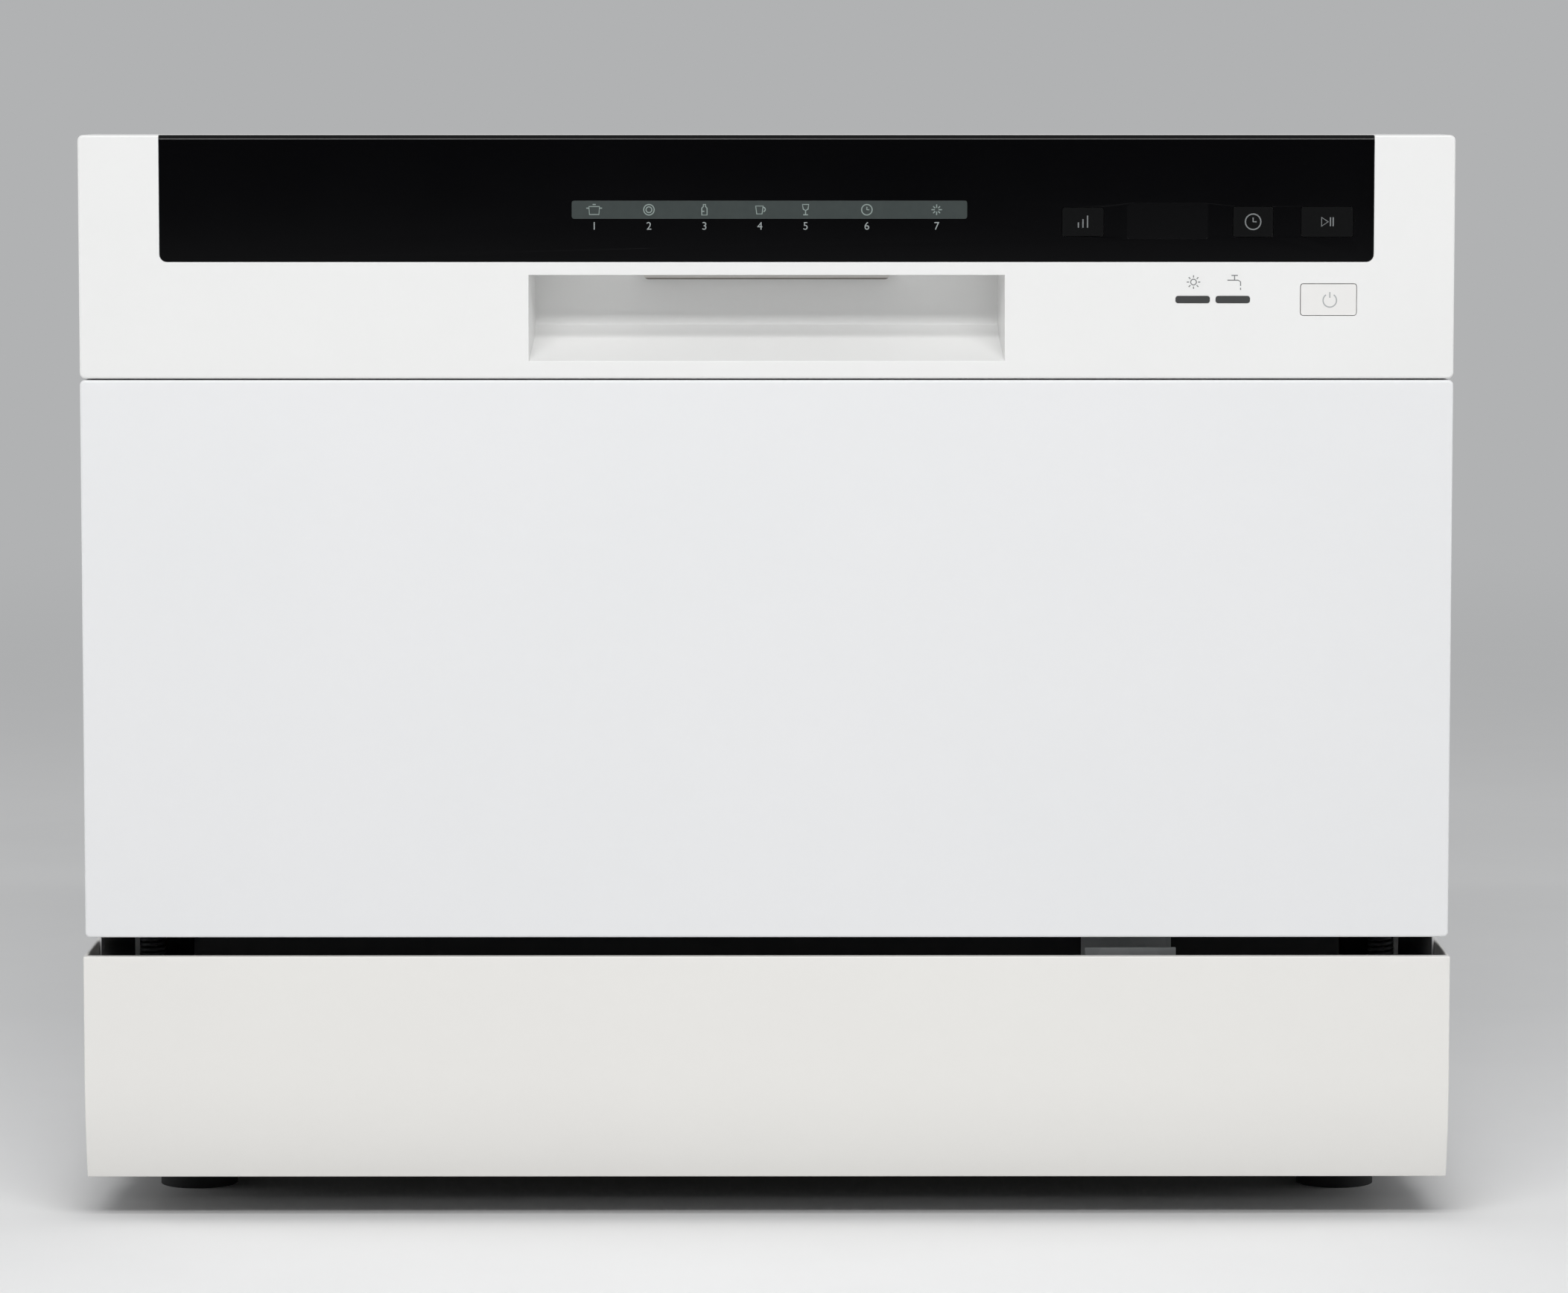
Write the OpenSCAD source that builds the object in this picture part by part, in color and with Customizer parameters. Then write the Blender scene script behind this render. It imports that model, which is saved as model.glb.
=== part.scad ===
// Countertop dishwasher. A white wrapped cabinet stands on four feet, with a drop-down
// front door, a dish rack on wheels, a spray arm, two pumps, a flow heater and valves.
// X runs to the right seen from the front, Y to the back and Z up from the worktop.

/* [Overall size] */
// Width over the base panel
body_w = 550; // [458:1:660]
// Depth from the base panel to the tips of the hose spigots
body_d = 500; // [450:1:600]
// Height from the worktop to the top of the fascia
body_h = 438; // [400:1:526]
// Height of the feet below the base tray
foot_h = 17.5; // [12:0.5:25]
// Radius of a foot
foot_r = 16; // [12:0.5:20]

/* [Cabinet] */
// Thickness of the painted cabinet sheet
sheet_t = 1; // [0.8:0.1:1.6]
// How far the base panel stands out past the cabinet on each side
side_lap = 1.4; // [1.4:0.1:3]
// How far the fascia stands above the cabinet top
top_lap = 6; // [1:0.5:10]
// Width of the flange folded in round the cabinet front
flange_w = 11; // [8:0.5:12]
// Height of the base front panel
base_panel_h = 91; // [80:1:110]
// Thickness of the base front panel
base_panel_t = 1.3; // [1:0.1:1.8]
// How far the lower edge of the base front panel is rolled back
base_roll = 8; // [3:0.5:14]
// Height over which the base front panel rolls back
roll_h = 43; // [30:1:60]
// How far the hose spigots stand out behind the rear panel
spigot_l = 24; // [18:1:30]

/* [Door] */
// Gap between the base panel and the door
door_gap = 7.5; // [6:0.5:12]
// How far the door front stands behind the base panel front
door_setback = 2; // [0:0.5:5]
// Thickness of the door, from its front to its steel liner
door_t = 38; // [34:0.5:46]
// Air between the door liner and the cabinet front
door_air = 7; // [6.5:0.5:12]
// How far the door edge stands in from the base panel edge
door_inset = 0.7; // [0.3:0.1:2]
// Thickness of the painted door skin and of the steel liner
skin_t = 0.8; // [0.6:0.1:1.2]
// Radius of the door and fascia corners
corner_r = 2.3; // [1:0.1:4]
// Hinge axis behind the door front
pivot_back = 13; // [12:0.5:16]
// Hinge axis above the bottom edge of the door
pivot_up = 16; // [14:0.5:20]
// Radius of the hinge pins
pin_r = 4; // [3:0.1:5]
// Radial clearance of every pin and shaft in its bore
fit = 0.05; // [0.02:0.01:0.1]

/* [Fascia] */
// Height of the control fascia
fascia_h = 97; // [90:1:110]
// Seam between the fascia and the door skin
seam = 0.6; // [0.3:0.1:1.5]
// Thickness of the fascia front
fascia_t = 3.5; // [3:0.1:4]
// Width of the black control window
window_w = 484; // [400:1:500]
// Height of the black control window, up to the top edge
window_h = 50.5; // [44:0.5:56]
// Thickness of the control window
window_t = 2; // [1.5:0.1:2.5]
// Width of the handle pocket
pocket_w = 190; // [150:1:230]
// Height of the handle pocket
pocket_h = 34.3; // [28:0.1:38]
// Top edge of the handle pocket below the top of the fascia
pocket_drop = 55.7; // [54:0.1:58]
// Width of the finger paddle in the pocket
paddle_w = 99; // [70:1:120]
// How far the paddle hangs below the top edge of the pocket
paddle_hang = 2.4; // [1:0.1:5]
// Gap round each button
button_gap = 0.25; // [0.2:0.05:0.4]
// Travel of each button
button_travel = 1.2; // [0.8:0.1:1.5]

/* [Tub and rack] */
// Room between the tub wall and the cabinet face on each side
side_space = 38.6; // [36:0.5:50]
// Room between the tub ceiling and the cabinet top
top_space = 21.5; // [18:0.5:40]
// Room between the tub back wall and the rear panel
back_space = 38; // [34:0.5:60]
// Thickness of the stainless tub
tub_t = 1; // [0.8:0.1:1.2]
// Depth of the wash basin below the wheel ledges
basin_drop = 25; // [22:0.5:28]
// Radius of the rack wheels
wheel_r = 15; // [12:0.5:16]
// Radius of the rack wires
wire_r = 1.75; // [1.5:0.05:2]
// Spacing of the rack floor wires
wire_pitch = 25; // [20:1:40]
// Height of the rack walls above the rack floor
rack_h = 82; // [60:1:100]
// Height of the plate tines above the rack floor
tine_h = 62; // [40:1:75]
// Length of the spray arm from its post to a tip
arm_l = 178; // [120:1:182]
// Radius of the filter cup
cup_r = 33; // [28:0.5:36]
// Outer radius of the inlet thread
inlet_r = 13.2; // [12:0.1:14]
// Outer radius of the drain spigot
drain_r = 9.5; // [8:0.1:11]
// Radius of the bore in the cord gland
cord_r = 3.9; // [3:0.1:5]

/* [Hidden] */
$fn = 48;
touch = 0.03;            // hairline left between two pieces that bear on each other
gap = 0.3;               // air round a piece that moves past its neighbour

// Faces of the cabinet and the door, front to back
base_y = -body_d / 2;
door_y = base_y + door_setback;
liner_y = door_y + door_t;
cab_y = liner_y + door_air;
rear_y = body_d / 2 - spigot_l;
rear_in = rear_y - sheet_t;
tub_back = rear_y - back_space;
// Half widths, outside to inside
cab_hw = body_w / 2 - side_lap;
door_hw = body_w / 2 - door_inset;
tub_hw = cab_hw - side_space;
liner_hw = tub_hw + 11;
// Heights, bottom to top
tray_z = foot_h;
base_top = foot_h + base_panel_h;
door_z = base_top + door_gap;
pivot_y = door_y + pivot_back;
pivot_z = door_z + pivot_up;
open_z = pivot_z + liner_y - pivot_y;      // top face of the liner with the door down
ledge_z = open_z + 0.2;                    // ledge that the wheels roll on
wheel_z = ledge_z + gap + wheel_r;
basin_z = ledge_z - basin_drop;
cab_top = body_h - top_lap;
tub_top = cab_top - top_space;
seam_z = body_h - fascia_h;
window_z = body_h - window_h;
pocket_top = body_h - pocket_drop;
pocket_z = pocket_top - pocket_h;
inlet_z = 60;

// Control fascia: the buttons stand in one row, with the lenses and power button below
row_z = body_h - 34.5;
low_z = body_h - 65.5;
program_at = [126, row_z, 16.4, 11.3];     // x, z, width and height of each button
delay_at = [193.8, row_z, 15.8, 11.9];
start_at = [223.3, row_z, 20.6, 11.9];
power_at = [224.1, low_z, 22.1, 12.4];
display_at = [159.7, row_z + 0.3, 32.3, 14.3];
strip_at = [1.1, body_h - 29.7, 157.5, 7.2];
lamps_at = [[169.9, low_z, 13.6, 2.8], [185.9, low_z, 13.6, 2.8]];
board_y = door_y + 10;
pocket_back = door_y + 29;

// Latch at the top centre of the door
lever_y = door_y + 26;
lever_z = pocket_top + 19.7;
lever_r = 2.5;
hook_y = door_y + 27;
hook_z = body_h - 20.5;
hook_pin_r = 2;
hook_arm_z = hook_z + 5.5;
keeper_y = cab_y + 2;

// Dispenser on the liner
disp_z = (door_z + seam_z) / 2 + 22;
disp_w = 160;
disp_h = 92;
disp_y = liner_y + 0.8;
lid_x = [-75, -19];
lid_hh = 27;
lid_travel = 50;
cap_x = 55;
cap_r = 17;

// Wash system
arm_y = (cab_y + tub_back) / 2;
arm_z = basin_z + 12;
arm_t = 12;
well = [88, arm_y - 62];
pump_y = arm_y + 68;
pump_z = tray_z + 52;
drain_at = [165, arm_y - 52, tray_z + 44];
float_at = [-tub_hw + 70, cab_y + 48];
float_r = 14;

// Rack: floor, walls and rim
rack_z = wheel_z + 3.5;
rack_hw = tub_hw - 35;
rack_front = cab_y + 57;
rack_rear = tub_back - 16;
lean = 16;                                 // how far a side wall leans out
front_lean = 48;
rim_z = rack_z + rack_h;
rim_r = 2;
cross_z = rack_z - wire_r - rim_r - touch;
wheel_ys = [rack_front + 51, rack_rear - 60];
wheel_x = [tub_hw - 21, tub_hw - 7];
axle_r = 3;
basket_x = [rack_hw - 82, rack_hw - 6];
basket_y = [rack_front + 28, rack_rear - 62];
basket_z = rack_z + wire_r + touch;
basket_h = 100;
basket_wall = 2;
cells = 4;
shelf_x = -(rack_hw + lean - 6);
shelf_z = rim_z + rim_r + 5;
shelf_y = [rack_front + 82, rack_rear - 62];
shelf_reach = 96;

white = "#efeeec";
paint = "#e4e3e0";
steel = "#c9ccce";
zinc = "#a9adae";
black = "#17181a";
dark = "#3a3c3e";
grey = "#8b8f92";
lens_grey = "#48504e";
coated = "#b9bec2";
copper = "#b3713f";

// ---------------------------------------------------------------- shared shapes

// A box from its lowest to its highest corner
module box(lo, hi) translate(lo) cube(hi - lo);

// A flat outline drawn in Y and Z, drawn out along X
module along_x(x0, x1)
    translate([x0, 0, 0]) rotate([90, 0, 90]) linear_extrude(x1 - x0) children();

// A flat outline drawn in X and Z, drawn out along Y
module along_y(y0, y1)
    translate([0, y1, 0]) rotate([90, 0, 0]) linear_extrude(y1 - y0) children();

module round_x(x0, x1, y, z, r)
    translate([x0, y, z]) rotate([0, 90, 0]) cylinder(h = x1 - x0, r = r);

module round_y(y0, y1, x, z, r)
    translate([x, y0, z]) rotate([-90, 0, 0]) cylinder(h = y1 - y0, r = r);

module round_z(z0, z1, x, y, r) translate([x, y, z0]) cylinder(h = z1 - z0, r = r);

// A straight wire between two points
module rod(a, b, r) {
    v = b - a;
    l = norm(v);
    translate(a) rotate([0, acos(v.z / l), atan2(v.y, v.x)]) cylinder(h = l, r = r);
}

// The same piece on the right and on the left
module both() {
    children();
    mirror([1, 0, 0]) children();
}

// A rectangle with round corners, centred
module soft_rect(w, h, r) {
    square([w - 2 * r, h], center = true);
    square([w, h - 2 * r], center = true);
    for (sx = [-1, 1], sz = [-1, 1])
        translate([sx * (w / 2 - r), sz * (h / 2 - r)]) circle(r);
}

// The outline of a control at [x, z, width, height], grown by a gap
module control_outline(at, grow, r = 1)
    translate([at[0], at[1]]) soft_rect(at[2] + 2 * grow, at[3] + 2 * grow, r + grow);

// ---------------------------------------------------------------- cabinet

// Painted steel wrap: top and two sides, with a flange folded in round the front
module outer_cabinet() color(paint) {
    z0 = tray_z + 2;
    difference() {
        box([-cab_hw, cab_y, z0], [cab_hw, rear_in, cab_top]);
        box([-cab_hw + sheet_t, cab_y + sheet_t, z0 - 1],
            [cab_hw - sheet_t, rear_y, cab_top - sheet_t]);
        box([-cab_hw + flange_w, cab_y - 1, z0 - 1],
            [cab_hw - flange_w, cab_y + 2 * sheet_t, cab_top - flange_w]);
        // notch for the latch hook
        box([-12, cab_y - 1, cab_top - flange_w - 1], [12, cab_y + 2 * sheet_t, cab_top - 2]);
    }
}

// Galvanised back with holes for the inlet, the drain and the cord
inlet_x = tub_hw - 45;
drain_x = -tub_hw + 45;
cord_at = [tub_hw - 95, inlet_z + 10];
module rear_panel() color(zinc) difference() {
    box([-cab_hw + sheet_t, rear_in + touch, tray_z + 3], [cab_hw - sheet_t, rear_y, cab_top - sheet_t]);
    round_y(rear_in - 1, rear_y + 1, inlet_x, inlet_z, inlet_r + 1);
    round_y(rear_in - 1, rear_y + 1, drain_x, inlet_z, drain_r + 1);
    round_y(rear_in - 1, rear_y + 1, cord_at[0], cord_at[1], cord_r + 4);
}

// Moulded tray that closes the base and carries the pumps
tray_t = 2.5;
tray_rim = 26;
module base_tray() color(dark) {
    hw = cab_hw - sheet_t - touch;
    difference() {
        box([-hw, cab_y + 4, tray_z], [hw, rear_in - touch, tray_z + tray_rim]);
        box([-hw + tray_t, cab_y + 4 + tray_t, tray_z + tray_t],
            [hw - tray_t, rear_in - tray_t, tray_z + tray_rim + 1]);
    }
    // the front wall stands higher between the springs and hides the pumps
    box([-tub_hw, cab_y + 4, tray_z], [tub_hw, cab_y + 4 + tray_t, base_top + 2]);
}

// Side outline of the base front panel, set in by d: flat above, rolled back below
module base_outline(d) {
    back = cab_y + 14;
    r = (roll_h * roll_h + base_roll * base_roll) / (2 * base_roll);
    translate([base_y + d, foot_h + roll_h]) square([back - base_y, base_panel_h]);
    intersection() {
        translate([base_y + r, foot_h + roll_h]) circle(r - d, $fn = 180);
        translate([base_y + d, foot_h - 1]) square([back - base_y, base_panel_h]);
    }
}

// Painted base panel: front sheet with a top lip and two side returns
module base_front_panel() color(paint) {
    hw = body_w / 2;
    t = base_panel_t;
    lip = 4.5;
    difference() {
        intersection() {
            along_x(-hw, hw) base_outline(0);
            box([-hw, base_y, foot_h], [hw, cab_y + 14, base_top]);
        }
        along_x(-hw + t, hw - t) difference() {
            base_outline(t);
            translate([base_y, base_top - t]) square([lip, t]);
        }
    }
}

// Four rubber feet, each a pad with a neck
foot_x = cab_hw - 36;
foot_ys = [cab_y + 48, rear_y - 34];
module rubber_feet() color(black)
    for (sx = [-1, 1], y = foot_ys) {
        round_z(0, 5, sx * foot_x, y, foot_r);
        translate([sx * foot_x, y, 5])
            cylinder(h = tray_z - 5, r1 = foot_r - 1, r2 = foot_r - 4);
    }

// Stainless tub: box with a front flange, wheel ledges and a sunk basin
ledge_w = 27;
sill = 14;
module tub() color(steel) {
    t = tub_t;
    flange = 11;
    difference() {
        union() {
            box([-tub_hw - t, cab_y, ledge_z - t], [tub_hw + t, tub_back + t, tub_top + t]);
            box([-tub_hw - flange, cab_y, door_z + 8], [tub_hw + flange, cab_y + t, tub_top + 10]);
            box([-tub_hw + ledge_w - t, cab_y + sill - t, basin_z - t],
                [tub_hw - ledge_w + t, tub_back - 6 + t, ledge_z]);
        }
        box([-tub_hw, cab_y - 1, ledge_z], [tub_hw, tub_back, tub_top]);
        box([-tub_hw + ledge_w, cab_y + sill, basin_z],
            [tub_hw - ledge_w, tub_back - 6, ledge_z + 1]);
        round_z(basin_z - 5, basin_z + 5, well[0], well[1], cup_r + 8);
        round_z(basin_z - 5, basin_z + 5, 0, arm_y, 12);
        round_z(basin_z - 5, basin_z + 5, float_at[0], float_at[1], 6);
    }
}

// Galvanised frame behind the tub flange, and the bracket that holds the sill at the base panel
frame_t = 1.2;
module front_frame() color(zinc) {
    y0 = cab_y + tub_t + touch;
    difference() {
        box([-cab_hw + sheet_t + 1, y0, open_z + 20], [cab_hw - sheet_t - 1, y0 + frame_t, cab_top - 3]);
        box([-tub_hw - 3, y0 - 1, open_z], [tub_hw + 3, y0 + frame_t + 1, tub_top + 3]);
        box([-9, y0 - 1, hook_z - 1], [9, y0 + frame_t + 1, hook_arm_z + 9]);
    }
    // sill bracket, seen in the gap under the door
    box([128.7, base_y + 15, base_top - 8], [165.5, cab_y - touch, base_top - 6.5]);
    box([128.7, base_y + 15, base_top - 6.5], [165.5, base_y + 16.5, base_top + 1.5]);
    box([128.7, cab_y - 1.5, base_top - 6.5], [165.5, cab_y - touch, door_z + 16]);
}

// Soft door seal round the top and sides of the tub, and a lip seal under the sill
seal_w = 8;
module door_seal() color(black) {
    hw = tub_hw + 1.5;
    y0 = liner_y + gap;
    y1 = cab_y - touch;
    top = tub_top + 1.5;
    both() box([hw, y0, open_z - 5], [hw + seal_w, y1, top]);
    box([-hw - seal_w, y0, top + touch], [hw + seal_w, y1, top + seal_w]);
    box([-hw, cab_y - 3, pivot_z + 8], [hw, y1, open_z - 8]);
}

// Bitumen mats on the outside of the tub
mat_t = 3;
module sound_mats() color(dark) {
    m = tub_t + touch;
    both() box([tub_hw + m, cab_y + 30, ledge_z + 20], [tub_hw + m + mat_t, tub_back - 10, tub_top - 12]);
    box([-tub_hw + 20, cab_y + 30, tub_top + m], [tub_hw - 20, tub_back - 10, tub_top + m + mat_t]);
    box([-tub_hw + 40, tub_back + m, ledge_z + 30], [tub_hw - 40, tub_back + m + mat_t, tub_top - 20]);
}

// ---------------------------------------------------------------- wash system

// Moulded sump under the basin, with the filter well, outlet stubs and the float guide
sump_r = cup_r + 13;
sump_h = 44;
well_fit = 0.6;
module sump() color(dark) {
    z1 = basin_z - tub_t - touch;
    difference() {
        union() {
            round_z(z1 - sump_h, z1, well[0], well[1], sump_r);
            // duct from the well to the spray arm post
            box([0, arm_y - 14, z1 - 34], [well[0] + 14, arm_y + 14, z1]);
            box([well[0] - 14, well[1], z1 - 34], [well[0] + 14, arm_y, z1]);
            round_z(z1 - 34, z1, 0, arm_y, 20);
        }
        round_z(z1 - sump_h + 4, z1 + 1, well[0], well[1], cup_r + well_fit);
        round_z(z1 - 30, z1 + 1, 0, arm_y, 9);
    }
    difference() {
        round_z(z1 - 40, z1, float_at[0], float_at[1], 9);
        round_z(z1 - 41, z1 + 1, float_at[0], float_at[1], 3 + fit);
    }
}

// Perforated stainless plate round the filter cup
plate_r = cup_r + 32;
module fine_filter_plate() color(steel) difference() {
    round_z(basin_z + touch, basin_z + 1, well[0], well[1], plate_r);
    round_z(basin_z - 1, basin_z + 2, well[0], well[1], cup_r + 3);
    round_z(basin_z - 1, basin_z + 2, 0, arm_y, 26);
}

// Twist-out filter cup: flange, sieve body and a cross bar to grip
module filter_cup() color(grey) {
    z0 = basin_z + 1 + gap;
    at = [well[0], well[1]];
    difference() {
        union() {
            round_z(z0, z0 + 2, at[0], at[1], cup_r + 7);
            round_z(z0 - 28, z0, at[0], at[1], cup_r - 1);
        }
        round_z(z0 - 26, z0 + 3, at[0], at[1], cup_r - 3);
    }
    translate([at[0], at[1], z0 - 6]) cube([2 * cup_r - 5, 5, 12], center = true);
}

// Post that carries the spray arm and feeds it water
post_r = 8;
module spray_arm_post() color(grey) difference() {
    union() {
        round_z(basin_z - tub_t - 26, basin_z, 0, arm_y, post_r);
        round_z(basin_z + touch, arm_z - 1, 0, arm_y, post_r + 8);
        round_z(basin_z, arm_z + arm_t + 3, 0, arm_y, post_r);
        round_z(arm_z + arm_t + 1, arm_z + arm_t + 5, 0, arm_y, post_r + 4);
    }
    round_z(basin_z - 40, arm_z + arm_t, 0, arm_y, post_r - 3);
}

// Spray arm: two hollow blades on a hub, with raised nozzles
module spray_arm() color(grey) difference() {
    union() {
        round_z(arm_z, arm_z + arm_t, 0, arm_y, 25);
        for (side = [0, 180]) translate([0, arm_y, arm_z]) rotate(side + 25) hull() {
            cylinder(h = arm_t - 2, r = 20, $fn = 32);
            translate([arm_l - 14, 0, 0]) cylinder(h = arm_t - 5, r = 14, $fn = 32);
        }
        for (side = [0, 180], i = [0:4]) translate([0, arm_y, arm_z]) rotate(side + 25)
            translate([40 + i * (arm_l - 62) / 4, 5 - 10 * (i % 2), 0])
                cylinder(h = arm_t - 1, r = 4, $fn = 24);
    }
    round_z(arm_z - 1, arm_z + arm_t + 1, 0, arm_y, post_r + fit);
}

// Wash pump: spiral housing, its impeller and the motor behind it
module wash_pump_housing() color(dark) difference() {
    union() {
        round_x(-42, -8, pump_y, pump_z, 40);
        round_x(-66, -40, pump_y, pump_z, 15);
        box([-34, pump_y - 40, pump_z], [-14, pump_y - 20, pump_z + 44]);
    }
    round_x(-38, -12, pump_y, pump_z, 34);
    round_x(-70, -37, pump_y, pump_z, 11);
    box([-31, pump_y - 37, pump_z + 10], [-17, pump_y - 23, pump_z + 50]);
    round_x(-13, -7, pump_y, pump_z, 4 + fit);
}

module wash_pump_rotor() color(white) {
    round_x(-32, -28, pump_y, pump_z, 28);
    round_x(-28, 92, pump_y, pump_z, 4);
    for (a = [0:60:300]) translate([-28, pump_y, pump_z]) rotate([a, 0, 0])
        translate([0, 7, -1]) cube([10, 19, 2]);
}

module wash_motor() color(zinc) difference() {
    union() {
        round_x(-8 + touch, 6, pump_y, pump_z, 36);
        round_x(6, 78, pump_y, pump_z, 31);
        round_x(78, 88, pump_y, pump_z, 14);
        box([10, pump_y - 30, tray_z + tray_t + touch], [70, pump_y + 30, pump_z - 20]);
    }
    round_x(-10, 90, pump_y, pump_z, 4 + fit);
    round_x(2, 70, pump_y, pump_z, 18);
}

// Flow heater: a tube in a steel jacket with end caps and terminals
heater_at = [-tub_hw + 85, pump_z - 5];
module water_heater() color(steel) {
    y0 = arm_y - 70;
    y1 = arm_y + 100;
    round_y(y0 + 12, y1 - 12, heater_at[0], heater_at[1], 18);
    round_y(y0, y0 + 12 - touch, heater_at[0], heater_at[1], 21);
    round_y(y1 - 12 + touch, y1, heater_at[0], heater_at[1], 21);
    for (dz = [-8, 8]) box([heater_at[0] - 3, y0 - 10, heater_at[1] + dz - 0.5],
                           [heater_at[0] + 3, y0 - touch, heater_at[1] + dz + 0.5]);
    for (y = [y0 + 25, y1 - 35]) difference() {
        box([heater_at[0] - 20, y, tray_z + tray_t + touch], [heater_at[0] + 20, y + 8, heater_at[1]]);
        round_y(y - 1, y + 9, heater_at[0], heater_at[1], 18 + touch);
    }
}

// Drain pump on the right of the base, with its own small impeller
module drain_pump() color(dark) difference() {
    at = drain_at;
    union() {
        round_x(at.x, at.x + 18, at.y, at.z, 25);
        round_x(at.x + 18, at.x + 62, at.y, at.z, 21);
        round_z(at.z + 10, at.z + 38, at.x + 9, at.y + 14, 8);
        box([at.x + 4, at.y - 16, tray_z + tray_t + touch], [at.x + 56, at.y + 16, at.z - 12]);
    }
    round_x(at.x + 3, at.x + 15, at.y, at.z, 20);
    round_x(at.x - 1, at.x + 4, at.y, at.z, 9);
    round_x(at.x + 14, at.x + 50, at.y, at.z, 3 + fit);
}

module drain_pump_rotor() color(white) {
    at = drain_at;
    round_x(at.x + 8, at.x + 10, at.y, at.z, 16);
    round_x(at.x + 10, at.x + 46, at.y, at.z, 3);
    for (a = [0:90:270]) translate([at.x + 4.5, at.y, at.z]) rotate([a, 0, 0])
        translate([0, 4, -1]) cube([3.5, 11, 2]);
}

// Inlet valve behind the threaded inlet that stands through the rear panel
module inlet_valve() color(white) difference() {
    union() {
        round_y(rear_y + 8, rear_y + spigot_l, inlet_x, inlet_z, inlet_r);
        round_y(rear_y + touch, rear_y + 8, inlet_x, inlet_z, inlet_r + 5);
        round_y(rear_in - 8, rear_y + 8, inlet_x, inlet_z, inlet_r);
        box([inlet_x - 18, rear_in - 44, inlet_z - 15], [inlet_x + 18, rear_in - touch, inlet_z + 15]);
        round_z(inlet_z, inlet_z + 40, inlet_x, rear_in - 26, 13);
    }
    round_y(rear_in - 6, rear_y + spigot_l + 1, inlet_x, inlet_z, inlet_r - 4);
}

// Barbed drain spigot that stands out through the rear panel
module drain_spigot() color(dark) difference() {
    union() {
        round_y(rear_in - 30, rear_y + spigot_l, drain_x, inlet_z, drain_r);
        round_y(rear_y + touch, rear_y + 3, drain_x, inlet_z, drain_r + 6);
        round_y(rear_in - 5, rear_in - touch, drain_x, inlet_z, drain_r + 6);
    }
    round_y(rear_in - 31, rear_y + spigot_l + 1, drain_x, inlet_z, drain_r - 2);
}

// Flat water jacket between the tub and the left cabinet side
module air_break() color("#d8dcdd") {
    wall = 2.5;
    port_r = 5;
    lo = [-(cab_hw - sheet_t - touch) + 1, arm_y - 90, ledge_z + 22];
    hi = [-(tub_hw + tub_t + mat_t + 3), arm_y + 120, tub_top - 40];
    difference() {
        box(lo, hi);
        box([for (v = lo) v + wall], [for (v = hi) v - wall]);
        round_z(lo.z - 1, lo.z + wall + 1, (lo.x + hi.x) / 2, arm_y, port_r);
    }
    box([lo.x - 1, arm_y - 60, ledge_z + 40], [lo.x - touch, arm_y + 90, tub_top - 60]);
}

// Inner hoses, laid as straight lengths with bends
hose_r = 8;
module hose_run(points, r) {
    for (i = [0:len(points) - 2]) rod(points[i], points[i + 1], r);
    for (i = [1:len(points) - 2]) translate(points[i]) rotate([0, 0, 45]) sphere(r * 1.02);
}
module inner_hoses() color(dark) {
    z = basin_z - 22;
    drain_top = [drain_at.x + 9, drain_at.y + 14, drain_at.z + 38.1];
    // drain pump to the drain spigot
    hose_run([drain_top, [drain_top.x, drain_top.y, z], [drain_top.x, tub_back - 2, z],
              [drain_x, tub_back - 2, z], [drain_x, tub_back - 2, inlet_z],
              [drain_x, rear_in - 30.1, inlet_z]], hose_r - 1);
    // inlet valve to the air break
    hose_run([[inlet_x - 18.1, rear_in - 26, inlet_z], [inlet_x - 30, rear_in - 26, inlet_z],
              [inlet_x - 30, rear_in - 12, inlet_z + 55], [-tub_hw - 17, rear_in - 12, inlet_z + 80],
              [-tub_hw - 17, rear_in - 12, ledge_z + 60], [-tub_hw - 17, arm_y + 120.1, ledge_z + 60]],
             hose_r - 2);
    // sump to the wash pump, and wash pump to the spray arm post
    side_z = basin_z - 28;
    hose_run([[-66.1, pump_y, pump_z], [-86, pump_y, pump_z], [-86, well[1], side_z],
              [well[0] - sump_r - 0.1, well[1], side_z]], hose_r);
    hose_run([[-30, pump_y - 40.1, side_z], [-30, arm_y, side_z], [-20.1, arm_y, side_z]], hose_r - 2);
}

// Power board in the base, with its parts and its tray
board_x = [tub_hw - 72, tub_hw + 18];
module power_board() color("#2f6b45") {
    y0 = arm_y + 40;
    y1 = tub_back - 6;
    z0 = tray_z + tray_t + 6;
    box([board_x[0], y0, z0], [board_x[1], y1, z0 + 1.6]);
    for (x = [board_x[0] + 6, board_x[1] - 6], y = [y0 + 6, y1 - 6])
        round_z(tray_z + tray_t + touch, z0 - touch, x, y, 3);
    for (i = [0:2]) round_z(z0 + 1.6 + touch, z0 + 26, board_x[0] + 18 + 24 * i, y0 + 24, 9);
    box([board_x[0] + 10, y1 - 50, z0 + 1.6 + touch], [board_x[0] + 40, y1 - 14, z0 + 24]);
    for (i = [0:3]) box([board_x[0] + 50, y1 - 50 + 11 * i, z0 + 1.6 + touch],
                        [board_x[0] + 76, y1 - 42 + 11 * i, z0 + 20]);
}

// Gland that the power cord leaves through
module cord_gland() color(black) difference() {
    union() {
        round_y(rear_y + touch, rear_y + 5, cord_at[0], cord_at[1], cord_r + 8);
        round_y(rear_in - 4, rear_y + 16, cord_at[0], cord_at[1], cord_r + 3.5);
        round_y(rear_in - 8, rear_in - touch, cord_at[0], cord_at[1], cord_r + 7);
    }
    round_y(rear_in - 9, rear_y + 17, cord_at[0], cord_at[1], cord_r);
}

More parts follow.
